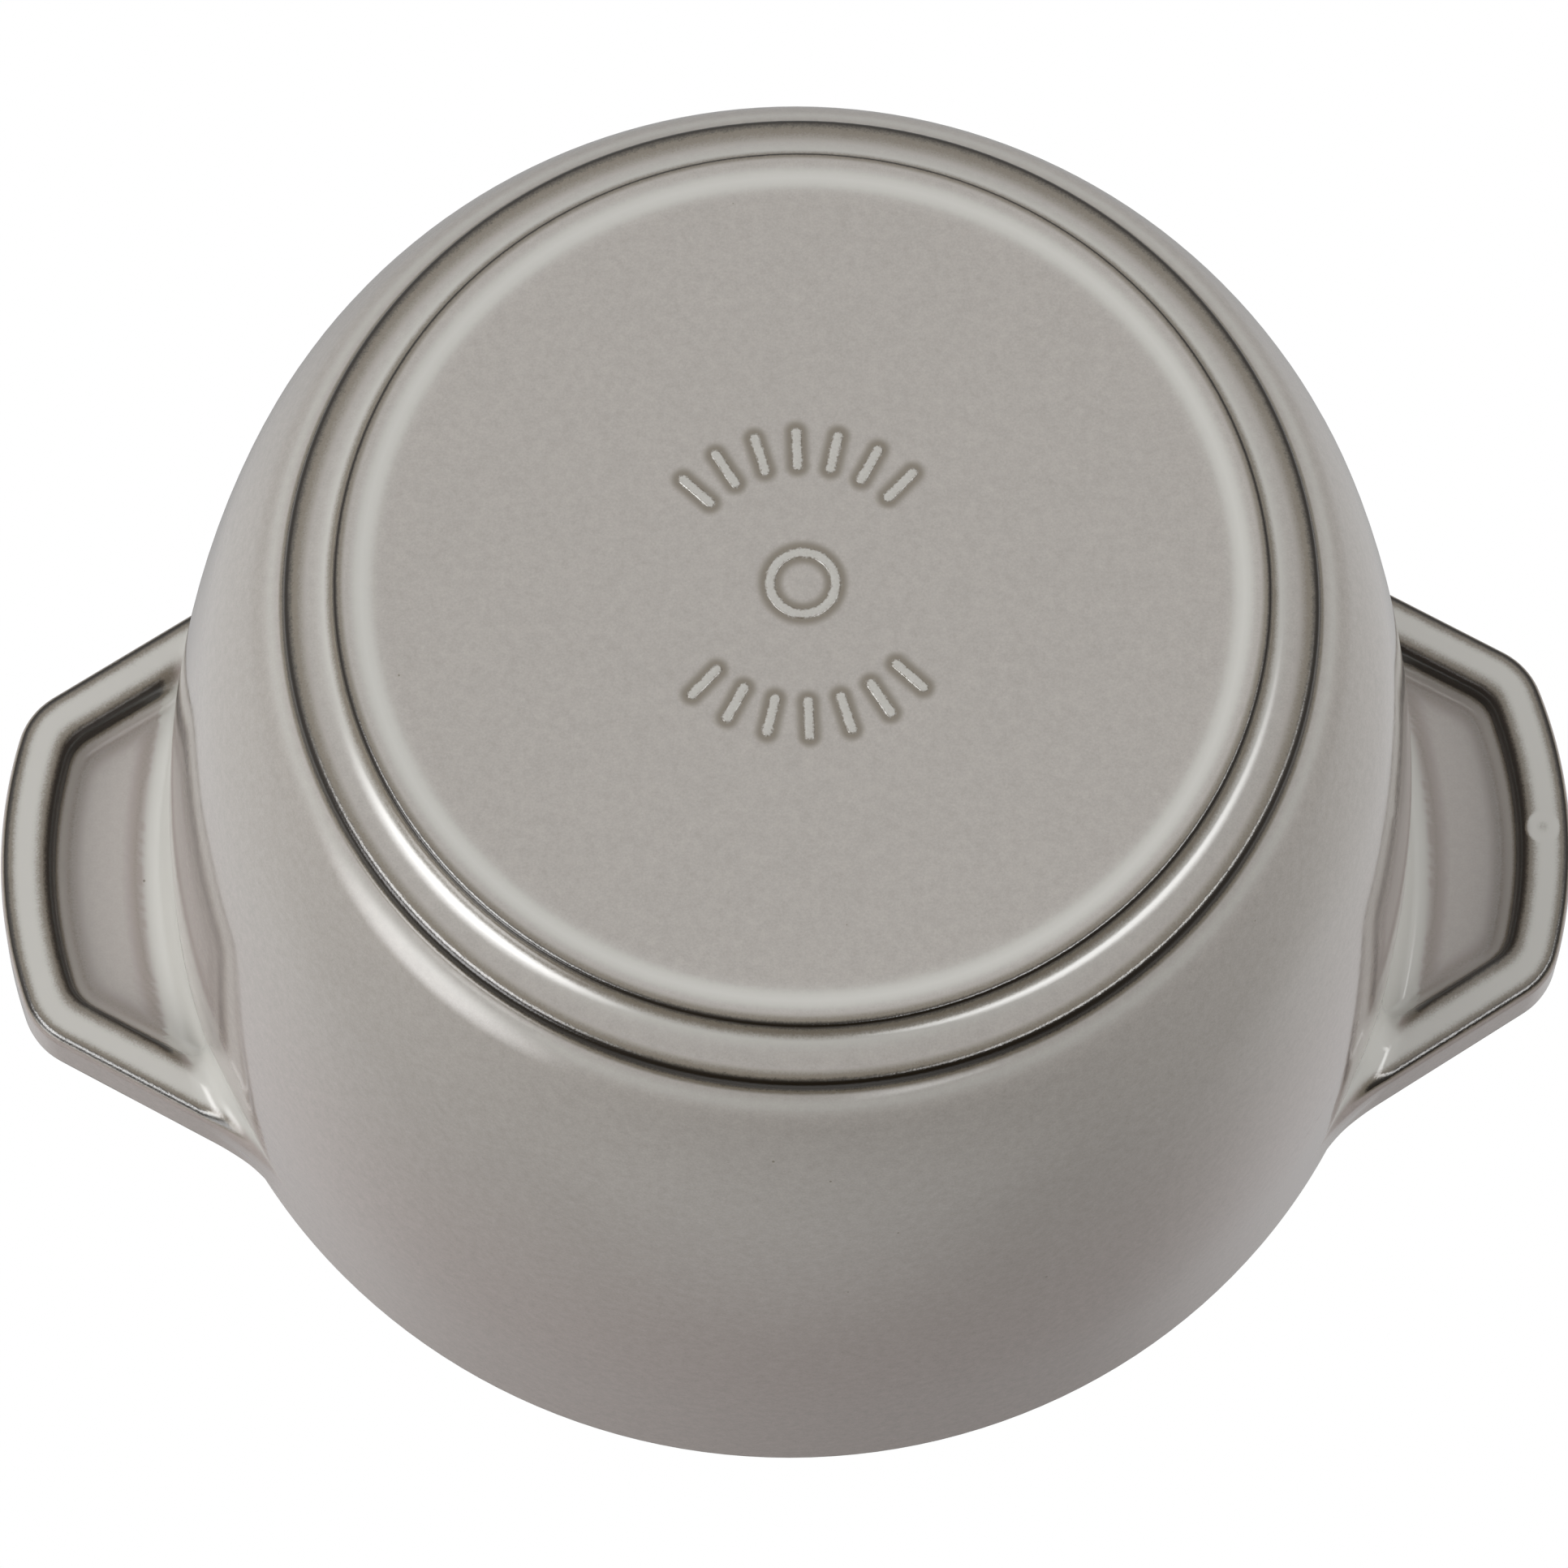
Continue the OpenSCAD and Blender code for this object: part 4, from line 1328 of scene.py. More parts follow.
def build_foot_mark(pot_sizes, material):
    """A plain low mark in the dish of the foot: two arcs of short bars about a small ring."""
    inputs = [
        ("Bar circle", "NodeSocketFloat", MARK_RADIUS * MM),
        ("Bar length", "NodeSocketFloat", MARK_BAR_LENGTH * MM),
        ("Width", "NodeSocketFloat", MARK_WIDTH * MM),
        ("Height", "NodeSocketFloat", MARK_HEIGHT * MM),
        ("Ring", "NodeSocketFloat", MARK_RING * MM),
        ("Dish", "NodeSocketFloat", pot_sizes.dish),
    ]
    tree = Tree("low_foot_mark", inputs)
    given = tree.input.outputs
    half = tree.math("MULTIPLY", given["Width"], 0.5)
    profile = tree.node("GeometryNodeCurvePrimitiveCircle", {"Resolution": MARK_SEGMENTS, "Radius": half})
    reach = tree.math("MULTIPLY", given["Bar length"], 0.5)
    back = tree.math("MULTIPLY", reach, -1.0)
    line_start = tree.node("ShaderNodeCombineXYZ", {0: back})
    line_end = tree.node("ShaderNodeCombineXYZ", {0: reach})
    line = tree.node("GeometryNodeCurvePrimitiveLine", {
        "Start": line_start.outputs[0], "End": line_end.outputs[0]})
    rod = tree.node("GeometryNodeCurveToMesh", {
        "Curve": line.outputs[0], "Profile Curve": profile.outputs[0]})
    tip = tree.node("GeometryNodeMeshUVSphere", {
        "Segments": MARK_SEGMENTS, "Rings": MARK_TIP_RINGS, "Radius": half})
    bar_parts = [rod.outputs[0]]
    for end in (line_start, line_end):
        moved = tree.node("GeometryNodeTransform", {
            "Geometry": tip.outputs[0], "Translation": end.outputs[0]})
        bar_parts.append(moved.outputs[0])
    spots = tree.node("GeometryNodeMeshCircle", {
        "Vertices": round(360 / MARK_STEP), "Radius": given["Bar circle"]})
    position = tree.node("GeometryNodeInputPosition").outputs[0]
    turn = tree.node("FunctionNodeAlignRotationToVector", {"Vector": position}, axis="X")
    across = tree.math("ABSOLUTE", tree.node("ShaderNodeSeparateXYZ", {0: position}).outputs[1])
    last = math.cos(math.radians(MARK_STEP * (MARK_REACH + 0.5)))
    in_arc = tree.math("GREATER_THAN", across, tree.math("MULTIPLY", given["Bar circle"], last))
    bars = tree.node("GeometryNodeInstanceOnPoints", {
        "Points": spots.outputs[0], "Selection": in_arc, "Instance": tree.join(bar_parts),
        "Rotation": turn.outputs[0]})
    loop = tree.node("GeometryNodeCurvePrimitiveCircle", {
        "Resolution": MARK_RING_SEGMENTS, "Radius": given["Ring"]})
    ring = tree.node("GeometryNodeCurveToMesh", {
        "Curve": loop.outputs[0], "Profile Curve": profile.outputs[0]})
    real = tree.node("GeometryNodeRealizeInstances", {0: tree.join([bars.outputs[0], ring.outputs[0]])})
    smooth = tree.node("GeometryNodeSetShadeSmooth", {"Geometry": real.outputs[0]})
    flat = tree.math("DIVIDE", given["Height"], half)
    squeeze = tree.node("ShaderNodeCombineXYZ", {0: 1.0, 1: 1.0, 2: flat})
    lift = tree.node("ShaderNodeCombineXYZ", {2: given["Dish"]})
    low = tree.node("GeometryNodeTransform", {
        "Geometry": smooth.outputs[0], "Scale": squeeze.outputs[0], "Translation": lift.outputs[0]})
    return tree.grow("foot_mark", low.outputs[0], material)


# Finishes

class Shader(Nodes):
    """A material, a world or a shader group under construction."""

    def length(self, x, y):
        """Length of a way across and a way along."""
        squares = [self.math("MULTIPLY", value, value) for value in (x, y)]
        return self.math("SQRT", self.math("ADD", *squares))

    def mix(self, share, first, second, way="MIX"):
        """A colour between two others."""
        made = self.node("ShaderNodeMix", data_type="RGBA", blend_type=way)
        self.feed(share, made.inputs["Factor"])
        self.feed(first, made.inputs[6])
        self.feed(second, made.inputs[7])
        return made.outputs[2]

    def span(self, value, low, high, to_low=0.0, to_high=1.0):
        """Goes smoothly from one value at low to another at high."""
        made = self.node("ShaderNodeMapRange", {
            "Value": value, "From Min": low, "From Max": high, "To Min": to_low, "To Max": to_high},
            interpolation_type="SMOOTHSTEP")
        return made.outputs[0]

    def noise(self, vector, scale, detail=2.0, rough=0.5):
        """Soft noise from 0 to 1."""
        made = self.node("ShaderNodeTexNoise", {
            "Vector": vector, "Scale": scale, "Detail": detail, "Roughness": rough})
        return made.outputs[0]


def shader_group(name, inputs, outputs):
    """A new shader group, with what it is given and what it gives."""
    tree = bpy.data.node_groups.new(name, "ShaderNodeTree")
    for label, kind, value in inputs:
        socket = tree.interface.new_socket(label, in_out="INPUT", socket_type=kind)
        if value is not None:
            socket.default_value = value
    for label, kind in outputs:
        tree.interface.new_socket(label, in_out="OUTPUT", socket_type=kind)
    start, end = tree.nodes.new("NodeGroupInput"), tree.nodes.new("NodeGroupOutput")
    return Shader(tree), start.outputs, end.inputs


SPECK_CHANCE = 0.6


def fired_grain_group():
    """Fine unevenness of a fired coat: a soft tone, grit, scattered specks and a ripple."""
    shader, given, result = shader_group("fired_grain", [
        ("Place", "NodeSocketVector", None),
        ("Tone scale", "NodeSocketFloat", 800.0),
        ("Grit scale", "NodeSocketFloat", 3600.0),
        ("Speck scale", "NodeSocketFloat", 110.0),
        ("Speck share", "NodeSocketFloat", 0.02),
        ("Ripple scale", "NodeSocketFloat", 90.0),
    ], [(label, "NodeSocketFloat") for label in ("Tone", "Grit", "Specks", "Ripple")])
    place_at = given["Place"]
    shader.feed(shader.noise(place_at, given["Tone scale"], detail=4.0, rough=0.6), result["Tone"])
    shader.feed(shader.noise(place_at, given["Grit scale"], detail=2.0, rough=0.6), result["Grit"])
    cells = shader.node("ShaderNodeTexVoronoi", {"Vector": place_at, "Scale": given["Speck scale"]}).outputs
    chance = shader.node("ShaderNodeSeparateColor", {0: cells["Color"]}).outputs[0]
    chosen = shader.math("GREATER_THAN", chance, SPECK_CHANCE)
    spot = shader.math("LESS_THAN", cells["Distance"], given["Speck share"])
    shader.feed(shader.math("MULTIPLY", chosen, spot), result["Specks"])
    shader.feed(shader.noise(place_at, given["Ripple scale"]), result["Ripple"])
    return shader.tree


def new_material(name):
    """A new material, its nodes and its surface."""
    material = bpy.data.materials.new(name)
    material.use_nodes = True
    shader = Shader(material.node_tree)
    return material, shader, material.node_tree.nodes["Principled BSDF"]


def use_group(shader, tree, links):
    """A shader group put to use. Gives its outputs."""
    return shader.node("ShaderNodeGroup", links, node_tree=tree).outputs


def bump(shader, strength, distance, height, normal=None):
    """A normal that follows a height."""
    made = shader.node("ShaderNodeBump", {"Strength": strength, "Distance": distance, "Height": height})
    if normal is not None:
        shader.feed(normal, made.inputs["Normal"])
    return made.outputs[0]


def four(colour):
    """A colour with full cover."""
    return (*colour, 1.0)


MARK_FADE = 1.7
MARK_LOOSE = 0.0007
MARK_TOP = 0.001
STROKE_EDGE = (0.6, 1.25)
STROKE_POOL = 0.75
AROUND_THIN = 0.7


def mark_distance(shader, apart):
    """Distance from the middle lines of the mark under the foot, in metres."""
    x, y = apart[0], apart[1]
    reach = shader.length(x, y)
    step = math.radians(MARK_STEP)
    lean = shader.math("ARCTAN2", x, shader.math("ABSOLUTE", y))
    whole = shader.math("ROUND", shader.math("DIVIDE", lean, step))
    whole = shader.math("MINIMUM", shader.math("MAXIMUM", whole, -MARK_REACH), MARK_REACH)
    local = shader.math("SUBTRACT", lean, shader.math("MULTIPLY", whole, step))
    along = shader.math("MULTIPLY", reach, shader.math("COSINE", local))
    out = shader.math("SUBTRACT", along, MARK_RADIUS * MM)
    past = shader.math("SUBTRACT", shader.math("ABSOLUTE", out), MARK_BAR_LENGTH / 2 * MM)
    past = shader.math("MAXIMUM", past, 0.0)
    aside = shader.math("MULTIPLY", reach, shader.math("SINE", local))
    bar = shader.length(past, aside)
    ring = shader.math("ABSOLUTE", shader.math("SUBTRACT", reach, MARK_RING * MM))
    return shader.math("MINIMUM", bar, ring)


def mark_glaze(shader, apart, loose):
    """Where the mark's strokes are pale, and where the glaze around them is thin."""
    away = shader.math("ADD", mark_distance(shader, apart), shader.math("MULTIPLY", loose, MARK_LOOSE))
    at_mark = shader.math("LESS_THAN", apart[2], MARK_TOP)
    half = MARK_WIDTH / 2 * MM
    inner, outer = (half * share for share in STROKE_EDGE)
    stroke = shader.math("MULTIPLY", at_mark, shader.span(away, inner, outer, STROKE_POOL, 0.0))
    around = shader.span(away, half, half + MARK_FADE * MM, AROUND_THIN, 0.0)
    around = shader.math("MULTIPLY", at_mark, around)
    return stroke, shader.math("MULTIPLY", around, shader.math("SUBTRACT", 1.0, stroke))


FIRING_SPOT = (-0.1037, -0.001, 0.0983)
SPOT_EDGE = (0.0019, 0.0026)
SPOT_RING = (0.0007, 0.0015)
SPOT_CORE = (0.0003, 0.0013)
SPOT_THIN = 0.22


def spot_glaze(shader, place_at):
    """The pale firing spot on one lip: the whole spot, its pale ring and its darker core."""
    way = shader.node("ShaderNodeVectorMath", {0: place_at, 1: FIRING_SPOT}, operation="DISTANCE")
    away = way.outputs["Value"]
    spot = shader.span(away, *SPOT_EDGE, 1.0, 0.0)
    ring = shader.math("MULTIPLY", spot, shader.span(away, *SPOT_RING))
    return spot, ring, shader.span(away, *SPOT_CORE, SPOT_THIN, 0.0)


# Heights between which the painted reflection tint comes in up the wall
REFLECTION_TINT_HEIGHTS = (0.015, 0.08)
TONES = (0.3, 0.7)
GRIT_SHARE = 0.9
SOFT_SHARE = 0.5
MOTTLE = 0.3
POOL_FULL = 0.26
HALF_THIN = 0.7
SWING = 2.0
SPECK_THIN = 0.5
GLAZE_ROUGH = (0.06, 0.10)
GLAZE_IOR = 1.6
RIPPLE_BUMP = (0.06, 0.0006)
PIT_BUMP = (0.2, 0.00015)


def enamel_material(finish, grain):
    """Grey enamel: pale where it pools in coves, brown black where it thins over edges. The same two values
    also carry painted light on the handle lips and painted shade on the finger pocket walls, and a warmer
    tint is painted up the wall as a reflection.
    """
    material, shader, surface = new_material("cocotte_grey_enamel")
    place_at = shader.node("ShaderNodeTexCoord").outputs["Object"]
    apart = shader.node("ShaderNodeSeparateXYZ", {0: place_at}).outputs
    fired = use_group(shader, grain, {"Place": place_at})
    thin, pool = (shader.node("ShaderNodeAttribute", attribute_name=label).outputs["Fac"] for label in GLAZE)

    grit = shader.math("SUBTRACT", fired["Grit"], 0.5)
    soft = shader.math("SUBTRACT", fired["Tone"], 0.5)
    loose = shader.math("ADD", shader.math("MULTIPLY", grit, GRIT_SHARE),
                        shader.math("MULTIPLY", soft, SOFT_SHARE))
    mottle = shader.math("MULTIPLY_ADD", shader.math("ADD", soft, grit), MOTTLE, 1.0)
    shade = shader.node("ShaderNodeCombineColor", {k: mottle for k in range(3)}).outputs[0]
    # Painted reflection: the body grey turns to a warmer tint up the wall
    reflection_tint = shader.span(apart[2], *REFLECTION_TINT_HEIGHTS)
    body = shader.mix(reflection_tint, four(finish.body_colour), four(finish.reflection_tint_colour))
    mottled = shader.mix(1.0, body, shade, "MULTIPLY")

    stroke, under_stroke = mark_glaze(shader, apart, loose)
    spot, spot_ring, spot_core = spot_glaze(shader, place_at)
    # Pale strokes, spot ring and pooled glaze, with painted light on the handle lips
    light = shader.math("MAXIMUM", stroke, spot_ring)
    light = shader.math("MAXIMUM", light, shader.span(pool, 0.0, POOL_FULL))
    pooled = shader.mix(light, mottled, four(finish.pool_and_painted_light_colour))

    thin = shader.math("MULTIPLY", thin, shader.math("SUBTRACT", 1.0, spot))
    thin = shader.math("MAXIMUM", shader.math("MAXIMUM", under_stroke, spot_core), thin)
    swing = shader.math("MULTIPLY", thin, shader.math("SUBTRACT", 1.0, thin))
    swing = shader.math("MULTIPLY", swing, SWING)
    thin = shader.math("MULTIPLY_ADD", loose, swing, thin, clamp=True)
    thin = shader.math("MAXIMUM", thin, shader.math("MULTIPLY", fired["Specks"], SPECK_THIN))
    # Brown and brown black where the glaze is thin, which also paints the shade on the finger pocket walls
    browned = shader.mix(shader.span(thin, 0.0, HALF_THIN), pooled, four(finish.half_thin_and_shade_colour))
    blackened = shader.mix(shader.span(thin, HALF_THIN, 1.0), browned, four(finish.thin_colour))

    shader.feed(blackened, surface.inputs["Base Color"])
    shader.feed(shader.span(fired["Tone"], *TONES, *GLAZE_ROUGH), surface.inputs["Roughness"])
    surface.inputs["IOR"].default_value = GLAZE_IOR
    ripple = bump(shader, *RIPPLE_BUMP, fired["Ripple"])
    pits = bump(shader, *PIT_BUMP, shader.math("MULTIPLY", fired["Grit"], thin), ripple)
    shader.feed(pits, surface.inputs["Normal"])
    return material


INSIDE_GRAIN = {"Tone scale": 60.0, "Speck scale": 900.0, "Speck share": 0.2, "Ripple scale": 1400.0}
INSIDE_LIGHT = 1.9
INSIDE_SPECK = 3.0
INSIDE_SPECK_SHARE = 0.5
INSIDE_ROUGH = (0.42, 0.55)
INSIDE_BUMP = (0.18, 0.0003)


def inside_material(finish, grain):
    """Matt black enamel with a fine grain."""
    material, shader, surface = new_material("cocotte_black_enamel")
    place_at = shader.node("ShaderNodeTexCoord").outputs["Object"]
    fired = use_group(shader, grain, {"Place": place_at, **INSIDE_GRAIN})
    light = [min(1.0, c * INSIDE_LIGHT) for c in finish.inside_colour]
    speck = [c * INSIDE_SPECK for c in light]
    body = shader.mix(shader.span(fired["Tone"], *TONES), four(finish.inside_colour), four(light))
    specks = shader.math("MULTIPLY", fired["Specks"], INSIDE_SPECK_SHARE)
    shader.feed(shader.mix(specks, body, four(speck)), surface.inputs["Base Color"])
    shader.feed(shader.span(fired["Tone"], *TONES, *INSIDE_ROUGH), surface.inputs["Roughness"])
    shader.feed(bump(shader, *INSIDE_BUMP, fired["Ripple"]), surface.inputs["Normal"])
    return material


METAL_DARK = 0.86
METAL_CLOUD = (0.35, 0.65)
METAL_ROUGH = (0.75, 1.35)
METAL_BUMP = (0.05, 0.0002)


def turned_metal(name, colour, rough, lines, wear):
    """Turned metal with fine rings from the lathe."""
    material, shader, surface = new_material(name)
    place_at = shader.node("ShaderNodeTexCoord").outputs["Object"]
    apart = shader.node("ShaderNodeSeparateXYZ", {0: place_at}).outputs
    around = shader.length(apart[0], apart[1])
    rings = shader.node("ShaderNodeCombineXYZ", {0: around, 1: 0.0, 2: apart[2]}).outputs[0]
    cut = shader.noise(rings, lines, detail=3.0, rough=0.6)
    cloud = shader.noise(place_at, wear, detail=4.0, rough=0.6)
    dark = [c * METAL_DARK for c in colour]
    tinted = shader.mix(shader.span(cloud, *METAL_CLOUD), four(dark), four(colour))
    shader.feed(tinted, surface.inputs["Base Color"])
    surface.inputs["Metallic"].default_value = 1.0
    mixed = shader.math("ADD", shader.math("MULTIPLY", cut, 0.5), shader.math("MULTIPLY", cloud, 0.5))
    smoothest, roughest = (rough * share for share in METAL_ROUGH)
    shader.feed(shader.span(mixed, *TONES, smoothest, roughest), surface.inputs["Roughness"])
    shader.feed(bump(shader, *METAL_BUMP, cut), surface.inputs["Normal"])
    return material


FLOOR_CLOUD = 3.0
FLOOR_DARKER = 0.97
FLOOR_ROUGH = 0.8
FLOOR_FADE = (0.22, 0.75)


def floor_material(stage):
    """Pale floor that fades into the white around it. It shows from above only, so the foot isn't hidden."""
    material, shader, surface = new_material("pale_floor")
    place_at = shader.node("ShaderNodeTexCoord").outputs["Object"]
    cloud = shader.noise(place_at, FLOOR_CLOUD)
    darker = [c * FLOOR_DARKER for c in stage.floor_colour]
    shader.feed(shader.mix(cloud, four(darker), four(stage.floor_colour)), surface.inputs["Base Color"])
    surface.inputs["Roughness"].default_value = FLOOR_ROUGH
    clear = shader.node("ShaderNodeBsdfTransparent")
    back = shader.node("ShaderNodeNewGeometry").outputs["Backfacing"]
    away = shader.node("ShaderNodeVectorMath", {0: place_at}, operation="LENGTH").outputs["Value"]
    gone = shader.math("MAXIMUM", back, shader.span(away, *FLOOR_FADE))
    both = shader.node("ShaderNodeMixShader", {0: gone, 1: surface.outputs[0], 2: clear.outputs[0]})
    output = material.node_tree.nodes["Material Output"]
    shader.feed(both.outputs[0], output.inputs["Surface"])
    return material


def finishes():
    """The object's materials, made once."""
    finish = bpy.context.scene.cocotte_finish
    if "cocotte_grey_enamel" not in bpy.data.materials:
        grain = fired_grain_group()
        enamel_material(finish, grain)
        inside_material(finish, grain)
        turned_metal("cocotte_nickel", finish.nickel_colour, rough=0.16, lines=2600.0, wear=60.0)
        turned_metal("cocotte_steel", finish.steel_colour, rough=0.32, lines=1600.0, wear=400.0)
    names = ("cocotte_grey_enamel", "cocotte_black_enamel", "cocotte_nickel", "cocotte_steel")
    return [bpy.data.materials[name] for name in names]


# Stage

MIRRORED = ((-1.0, 1.0), (-0.55, 0.95), (-0.20, 0.50), (0.10, 0.36), (0.50, 0.36), (1.0, 0.34))
MIRRORED_BACK = 0.5
MIRRORED_FRONT = -0.4
MIRRORED_LEFT = 0.15
CARD_CORE = 0.2
LIT_POINT = (0, 0, 0.05)
LAMPS = (
    ("soft_box", (0.82, -0.49, -0.32), (0.65, 0.40)),
    ("foot_light", (0.75, 0.65, -0.85), (1.2, 1.2)),
    ("fill_light", (-1.02, 0.12, -0.40), (0.8, 0.8)),
    ("lid_light", (0.12, 0.55, 1.1), (1.2, 1.2)),
)
CARDS = (
    ("box_card", (0.85, -0.51, -0.10), (1.0, 0.75), "cards", 0.45),
    ("left_card", (0.64, -0.30, -0.65), (1.05, 0.62), "cards", 1.0),
    ("right_card", (-0.59, -0.40, -0.65), (1.9, 0.40), "cards", 0.7),
    ("left_sky", (0.74, 0.24, 0.95), (1.6, 1.6), "sky", 1.0),
    ("right_sky", (-0.74, 0.24, 0.95), (1.6, 1.6), "sky", 1.0),
    ("front_sky", (0.0, -0.97, 0.73), (1.8, 1.2), "sky", 1.1),
)
FLOOR_HALF = 3.0
FLOOR_LEVEL = -0.0004
SENSOR = 36.0
CLIP = (0.05, 20.0)
CAMERA_PLACE = (0.04494, -0.46379, -1.18639)
CAMERA_RIGHT = (-0.99898, -0.04115, -0.0197)
CAMERA_UP = (-0.03181, 0.93768, -0.346)
CAMERA_BACK = (0.03274, -0.34505, -0.938)


def aim(thing, place_at):
    """Puts a lamp or a card at a place so that it faces the object."""
    thing.location = place_at
    thing.rotation_mode = "QUATERNION"
    thing.rotation_quaternion = (Vector(LIT_POINT) - Vector(place_at)).to_track_quat("-Z", "Y")


def soft_light(name, place_at, size, power):
    """A wide lamp that lights the surfaces but isn't mirrored in them."""
    data = bpy.data.lights.new(name, "AREA")
    data.shape = "RECTANGLE"
    data.size, data.size_y = size
    data.energy = power
    lamp = bpy.data.objects.new(name, data)
    aim(lamp, place_at)
    lamp.visible_camera = False
    lamp.visible_glossy = False
    bpy.context.scene.collection.objects.link(lamp)


def card_material(name, size, level):
    """Light that fades towards the edges of a card and leaves its back dark."""
    material, shader, _ = new_material(name)
    place_at = shader.node("ShaderNodeTexCoord").outputs["Object"]
    scale = (2 / size[0], 2 / size[1], 0)
    scaled = shader.node("ShaderNodeVectorMath", {0: place_at, 1: scale}, operation="MULTIPLY").outputs[0]
    away = shader.node("ShaderNodeVectorMath", {0: scaled}, operation="LENGTH").outputs["Value"]
    glow = shader.span(away, CARD_CORE, 1.0, level, 0.0)
    back = shader.node("ShaderNodeNewGeometry").outputs["Backfacing"]
    glow = shader.math("MULTIPLY", glow, shader.math("SUBTRACT", 1.0, back))
    light = shader.node("ShaderNodeEmission", {"Strength": glow})
    clear = shader.node("ShaderNodeBsdfTransparent")
    both = shader.node("ShaderNodeAddShader", {0: light.outputs[0], 1: clear.outputs[0]})
    shader.feed(both.outputs[0], material.node_tree.nodes["Material Output"].inputs["Surface"])
    return material


def bright_card(name, place_at, size, level):
    """A soft edged card that only shows as a highlight in the glaze and the metal."""
    across, along = size[0] / 2, size[1] / 2
    corners = [(-across, along, 0), (across, along, 0), (across, -along, 0), (-across, -along, 0)]
    mesh = bpy.data.meshes.new(name)
    mesh.from_pydata(corners, [], [(0, 1, 2, 3)])
    mesh.materials.append(card_material(name, size, level))
    card = place(name, mesh)
    aim(card, place_at)
    card.visible_camera = False
    card.visible_diffuse = False
    card.visible_shadow = False


def light_world(stage):
    """White for the eye, paler below than above for reflections, and an even light for the surfaces."""
    world = bpy.data.worlds.new("studio")
    bpy.context.scene.world = world
    world.use_nodes = True
    shader = Shader(world.node_tree)
    even_light = world.node_tree.nodes["Background"]
    even_light.inputs["Color"].default_value = (1, 1, 1, 1)
    even_light.inputs["Strength"].default_value = stage.ambient
    path = shader.node("ShaderNodeLightPath").outputs
    way = shader.node("ShaderNodeTexCoord").outputs["Generated"]
    apart = shader.node("ShaderNodeSeparateXYZ", {0: way}).outputs
    ramp = shader.node("ShaderNodeValToRGB", {0: shader.math("MULTIPLY_ADD", apart[2], 0.5, 0.5)})
    stops = ramp.color_ramp.elements
    for height, _ in MIRRORED[1:-1]:
        stops.new(height * 0.5 + 0.5)
    for stop, (height, level) in zip(stops, MIRRORED):
        stop.position = height * 0.5 + 0.5
        stop.color = (level, level, level, 1)
    lean = shader.math("MULTIPLY_ADD", apart[0], MIRRORED_LEFT, 1.0)
    lean = shader.math("MULTIPLY_ADD", apart[1], MIRRORED_BACK, lean)
    lean = shader.math("MULTIPLY_ADD", shader.math("ABSOLUTE", apart[1]), MIRRORED_FRONT, lean)
    mirrored = shader.math("MULTIPLY", ramp.outputs[0], lean, clamp=True)
    strength = shader.mix(path["Is Camera Ray"], mirrored, (1, 1, 1, 1))
    white = shader.node("ShaderNodeBackground", {"Color": strength, "Strength": 1.0})
    seen = shader.math("MAXIMUM", path["Is Camera Ray"],
                       shader.math("MAXIMUM", path["Is Glossy Ray"], path["Is Transmission Ray"]))
    both = shader.node("ShaderNodeMixShader", {0: seen, 1: even_light.outputs[0], 2: white.outputs[0]})
    shader.feed(both.outputs[0], world.node_tree.nodes["World Output"].inputs["Surface"])


def set_camera(stage):
    """The camera of the photo, below the foot."""
    data = bpy.data.cameras.new("photo_camera")
    data.sensor_width = SENSOR
    data.lens = stage.lens
    data.clip_start, data.clip_end = CLIP
    camera = bpy.data.objects.new("photo_camera", data)
    turn = Matrix((CAMERA_RIGHT, CAMERA_UP, CAMERA_BACK)).transposed().to_4x4()
    camera.matrix_world = Matrix.Translation(CAMERA_PLACE) @ turn
    bpy.context.scene.collection.objects.link(camera)
    bpy.context.scene.camera = camera


def lay_floor(stage):
    """The floor, just under the foot."""
    half, level = FLOOR_HALF, FLOOR_LEVEL
    mesh = bpy.data.meshes.new("floor")
    corners = [(-half, -half, level), (half, -half, level), (half, half, level), (-half, half, level)]
    mesh.from_pydata(corners, [], [(0, 1, 2, 3)])
    mesh.materials.append(floor_material(stage))
    floor = place("floor", mesh)
    floor.visible_shadow = False
    floor.visible_diffuse = False
    floor.visible_glossy = False


# Operators

class COCOTTE_OT_stage(bpy.types.Operator):
    """Make the floor, the light and the camera"""

    bl_idname = "cocotte.stage"
    bl_label = "Stage"

    def execute(self, context):
        stage = context.scene.cocotte_stage
        context.scene.view_settings.view_transform = "Standard"
        set_camera(stage)
        light_world(stage)
        lay_floor(stage)
        for name, place_at, size in LAMPS:
            soft_light(name, place_at, size, getattr(stage, name))
        for name, place_at, size, group, share in CARDS:
            bright_card(name, place_at, size, getattr(stage, group) * share)
        return {"FINISHED"}


class COCOTTE_OT_pot(bpy.types.Operator):
    """Make the pot with its two handles and the mark under its foot"""

    bl_idname = "cocotte.pot"
    bl_label = "Pot"

    def execute(self, context):
        enamel, inside, _, _ = finishes()
        pot = build_pot(context.scene.cocotte_pot, context.scene.cocotte_handles, enamel, inside)
        put(pot, "pot", "pot")
        mark = build_foot_mark(context.scene.cocotte_pot, enamel)
        put(mark, "pot", None)
        return {"FINISHED"}


class COCOTTE_OT_lid(bpy.types.Operator):
    """Make the lid and the rings of nubs under it"""

    bl_idname = "cocotte.lid"
    bl_label = "Lid"

    def execute(self, context):
        enamel, inside, _, _ = finishes()
        shape = LidShape(context.scene.cocotte_pot, context.scene.cocotte_lid)
        lid = build_lid(shape, enamel, inside)
        put(lid, "lid", "lid")
        nubs = build_nubs(shape, context.scene.cocotte_lid, inside)
        put(nubs, "lid")
        return {"FINISHED"}


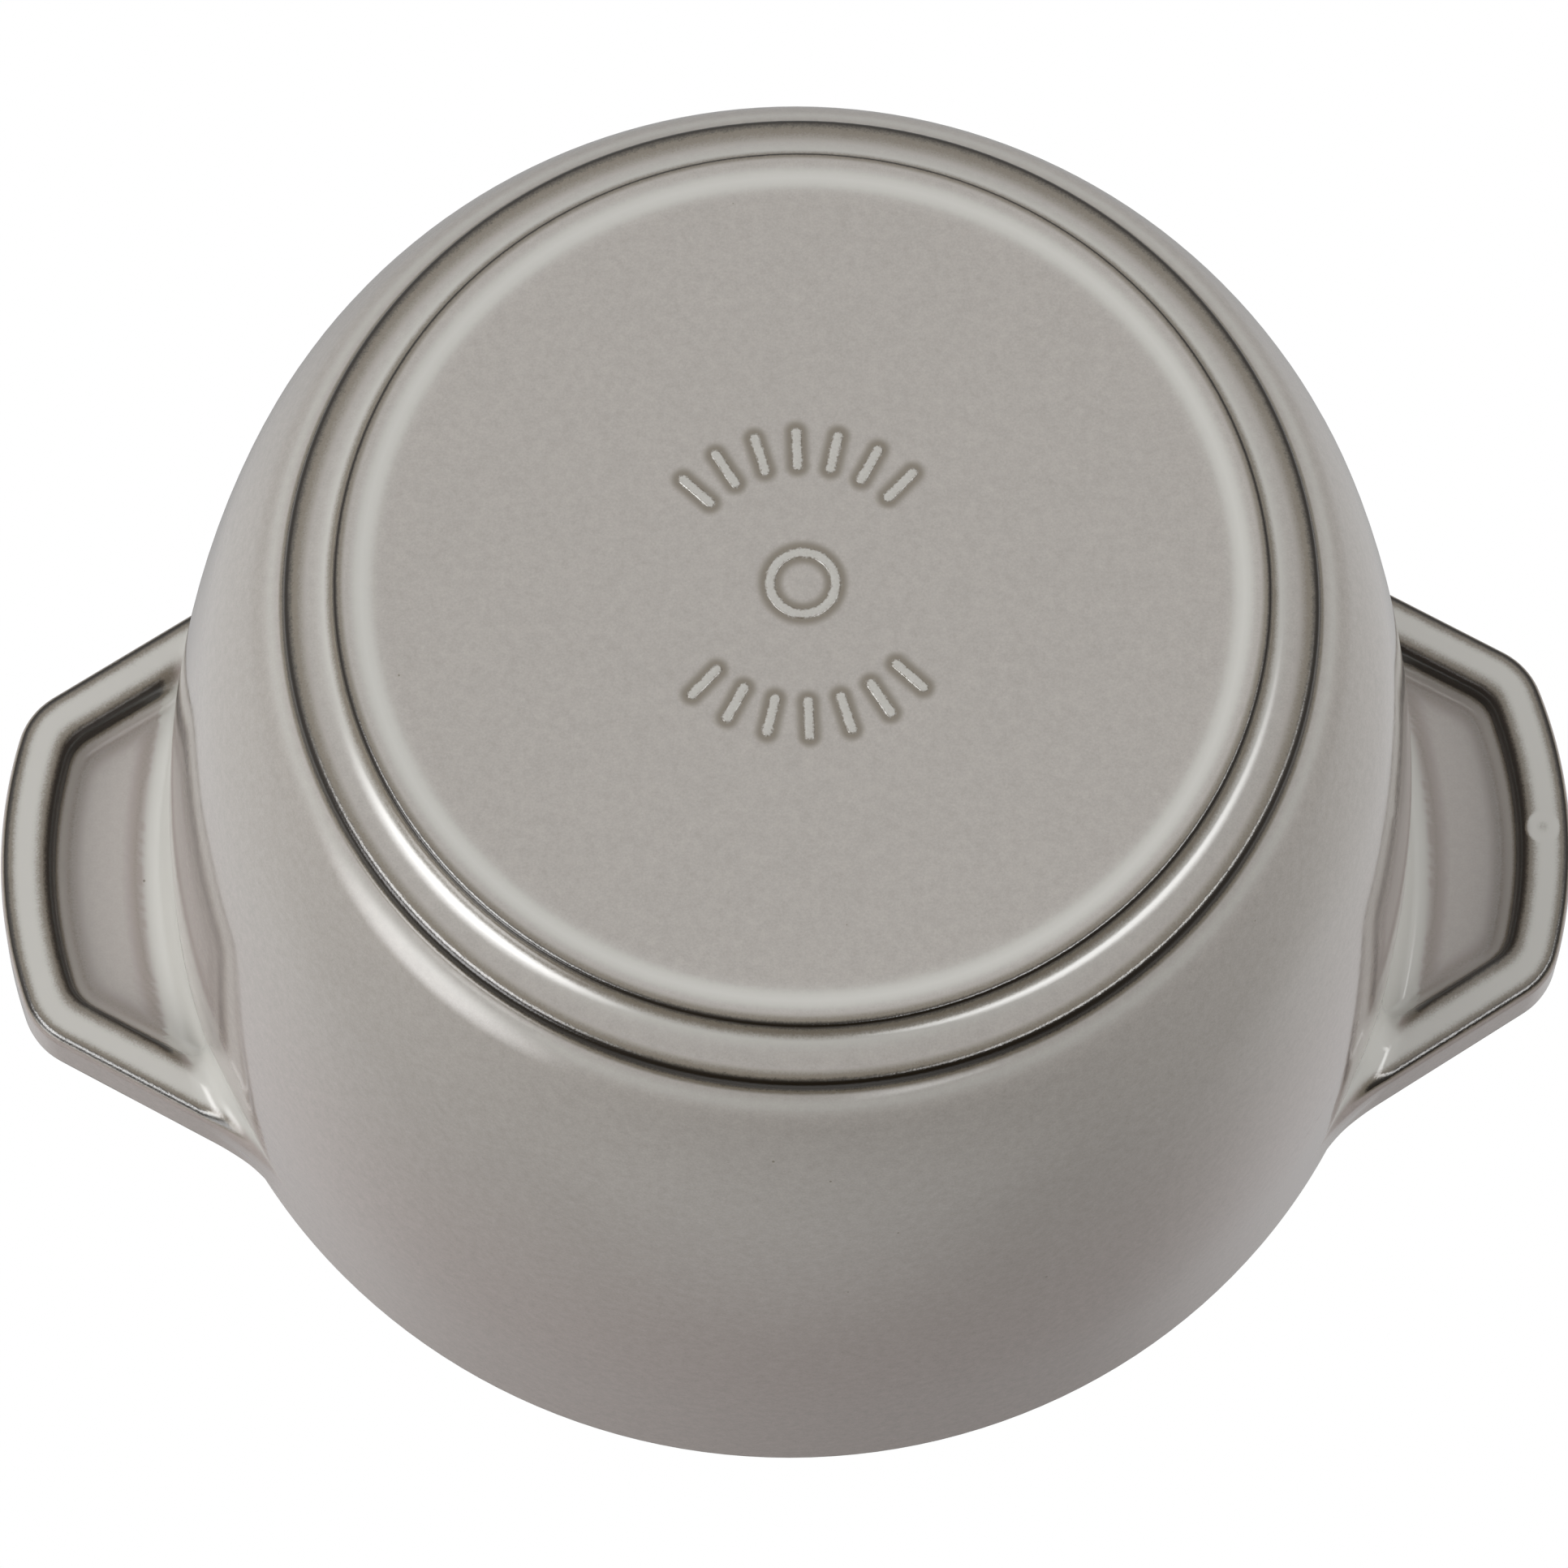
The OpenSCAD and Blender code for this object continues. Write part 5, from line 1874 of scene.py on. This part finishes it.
class COCOTTE_OT_knob(bpy.types.Operator):
    """Make the knob with its screw and split washer"""

    bl_idname = "cocotte.knob"
    bl_label = "Knob"

    def execute(self, context):
        _, _, nickel, steel = finishes()
        shape = LidShape(context.scene.cocotte_pot, context.scene.cocotte_lid)
        put(build_knob(shape, context.scene.cocotte_lid, nickel), "lid", "knob")
        put(build_screw(shape, steel), "lid", "knob_screw")
        put(build_washer(shape, steel), "lid", "spring_washer")
        return {"FINISHED"}


class COCOTTE_PT_panel(bpy.types.Panel):
    """Lists the sizes, the colours and the steps of the cocotte"""

    bl_idname = "COCOTTE_PT_panel"
    bl_label = "Cocotte"
    bl_space_type = "VIEW_3D"
    bl_region_type = "UI"
    bl_category = "Cocotte"

    def draw(self, context):
        for label in GROUPS:
            group = getattr(context.scene, label)
            box = self.layout.box()
            box.label(text=group.__doc__ or label)
            for name in group.bl_rna.properties.keys():
                if name not in ("rna_type", "name"):
                    box.prop(group, name)
        for step in STEPS:
            self.layout.operator(step.bl_idname)


GROUPS = {
    "cocotte_pot": CocottePotSizes,
    "cocotte_handles": CocotteHandleSizes,
    "cocotte_lid": CocotteLidSizes,
    "cocotte_finish": CocotteFinish,
    "cocotte_stage": CocotteStage,
}
STEPS = (COCOTTE_OT_stage, COCOTTE_OT_pot, COCOTTE_OT_lid, COCOTTE_OT_knob)


def register():
    """Registers the properties, the operators and the panel."""
    for label, group in GROUPS.items():
        bpy.utils.register_class(group)
        setattr(bpy.types.Scene, label, bpy.props.PointerProperty(type=group))
    for step in STEPS:
        bpy.utils.register_class(step)
    bpy.utils.register_class(COCOTTE_PT_panel)


def unregister():
    """Takes back what register did."""
    bpy.utils.unregister_class(COCOTTE_PT_panel)
    for step in reversed(STEPS):
        bpy.utils.unregister_class(step)
    for label, group in reversed(GROUPS.items()):
        delattr(bpy.types.Scene, label)
        bpy.utils.unregister_class(group)


def main():
    """Builds the stage and the object."""
    register()
    bpy.ops.cocotte.stage()
    bpy.ops.cocotte.pot()
    bpy.ops.cocotte.lid()
    bpy.ops.cocotte.knob()


if __name__ == "__main__":
    main()
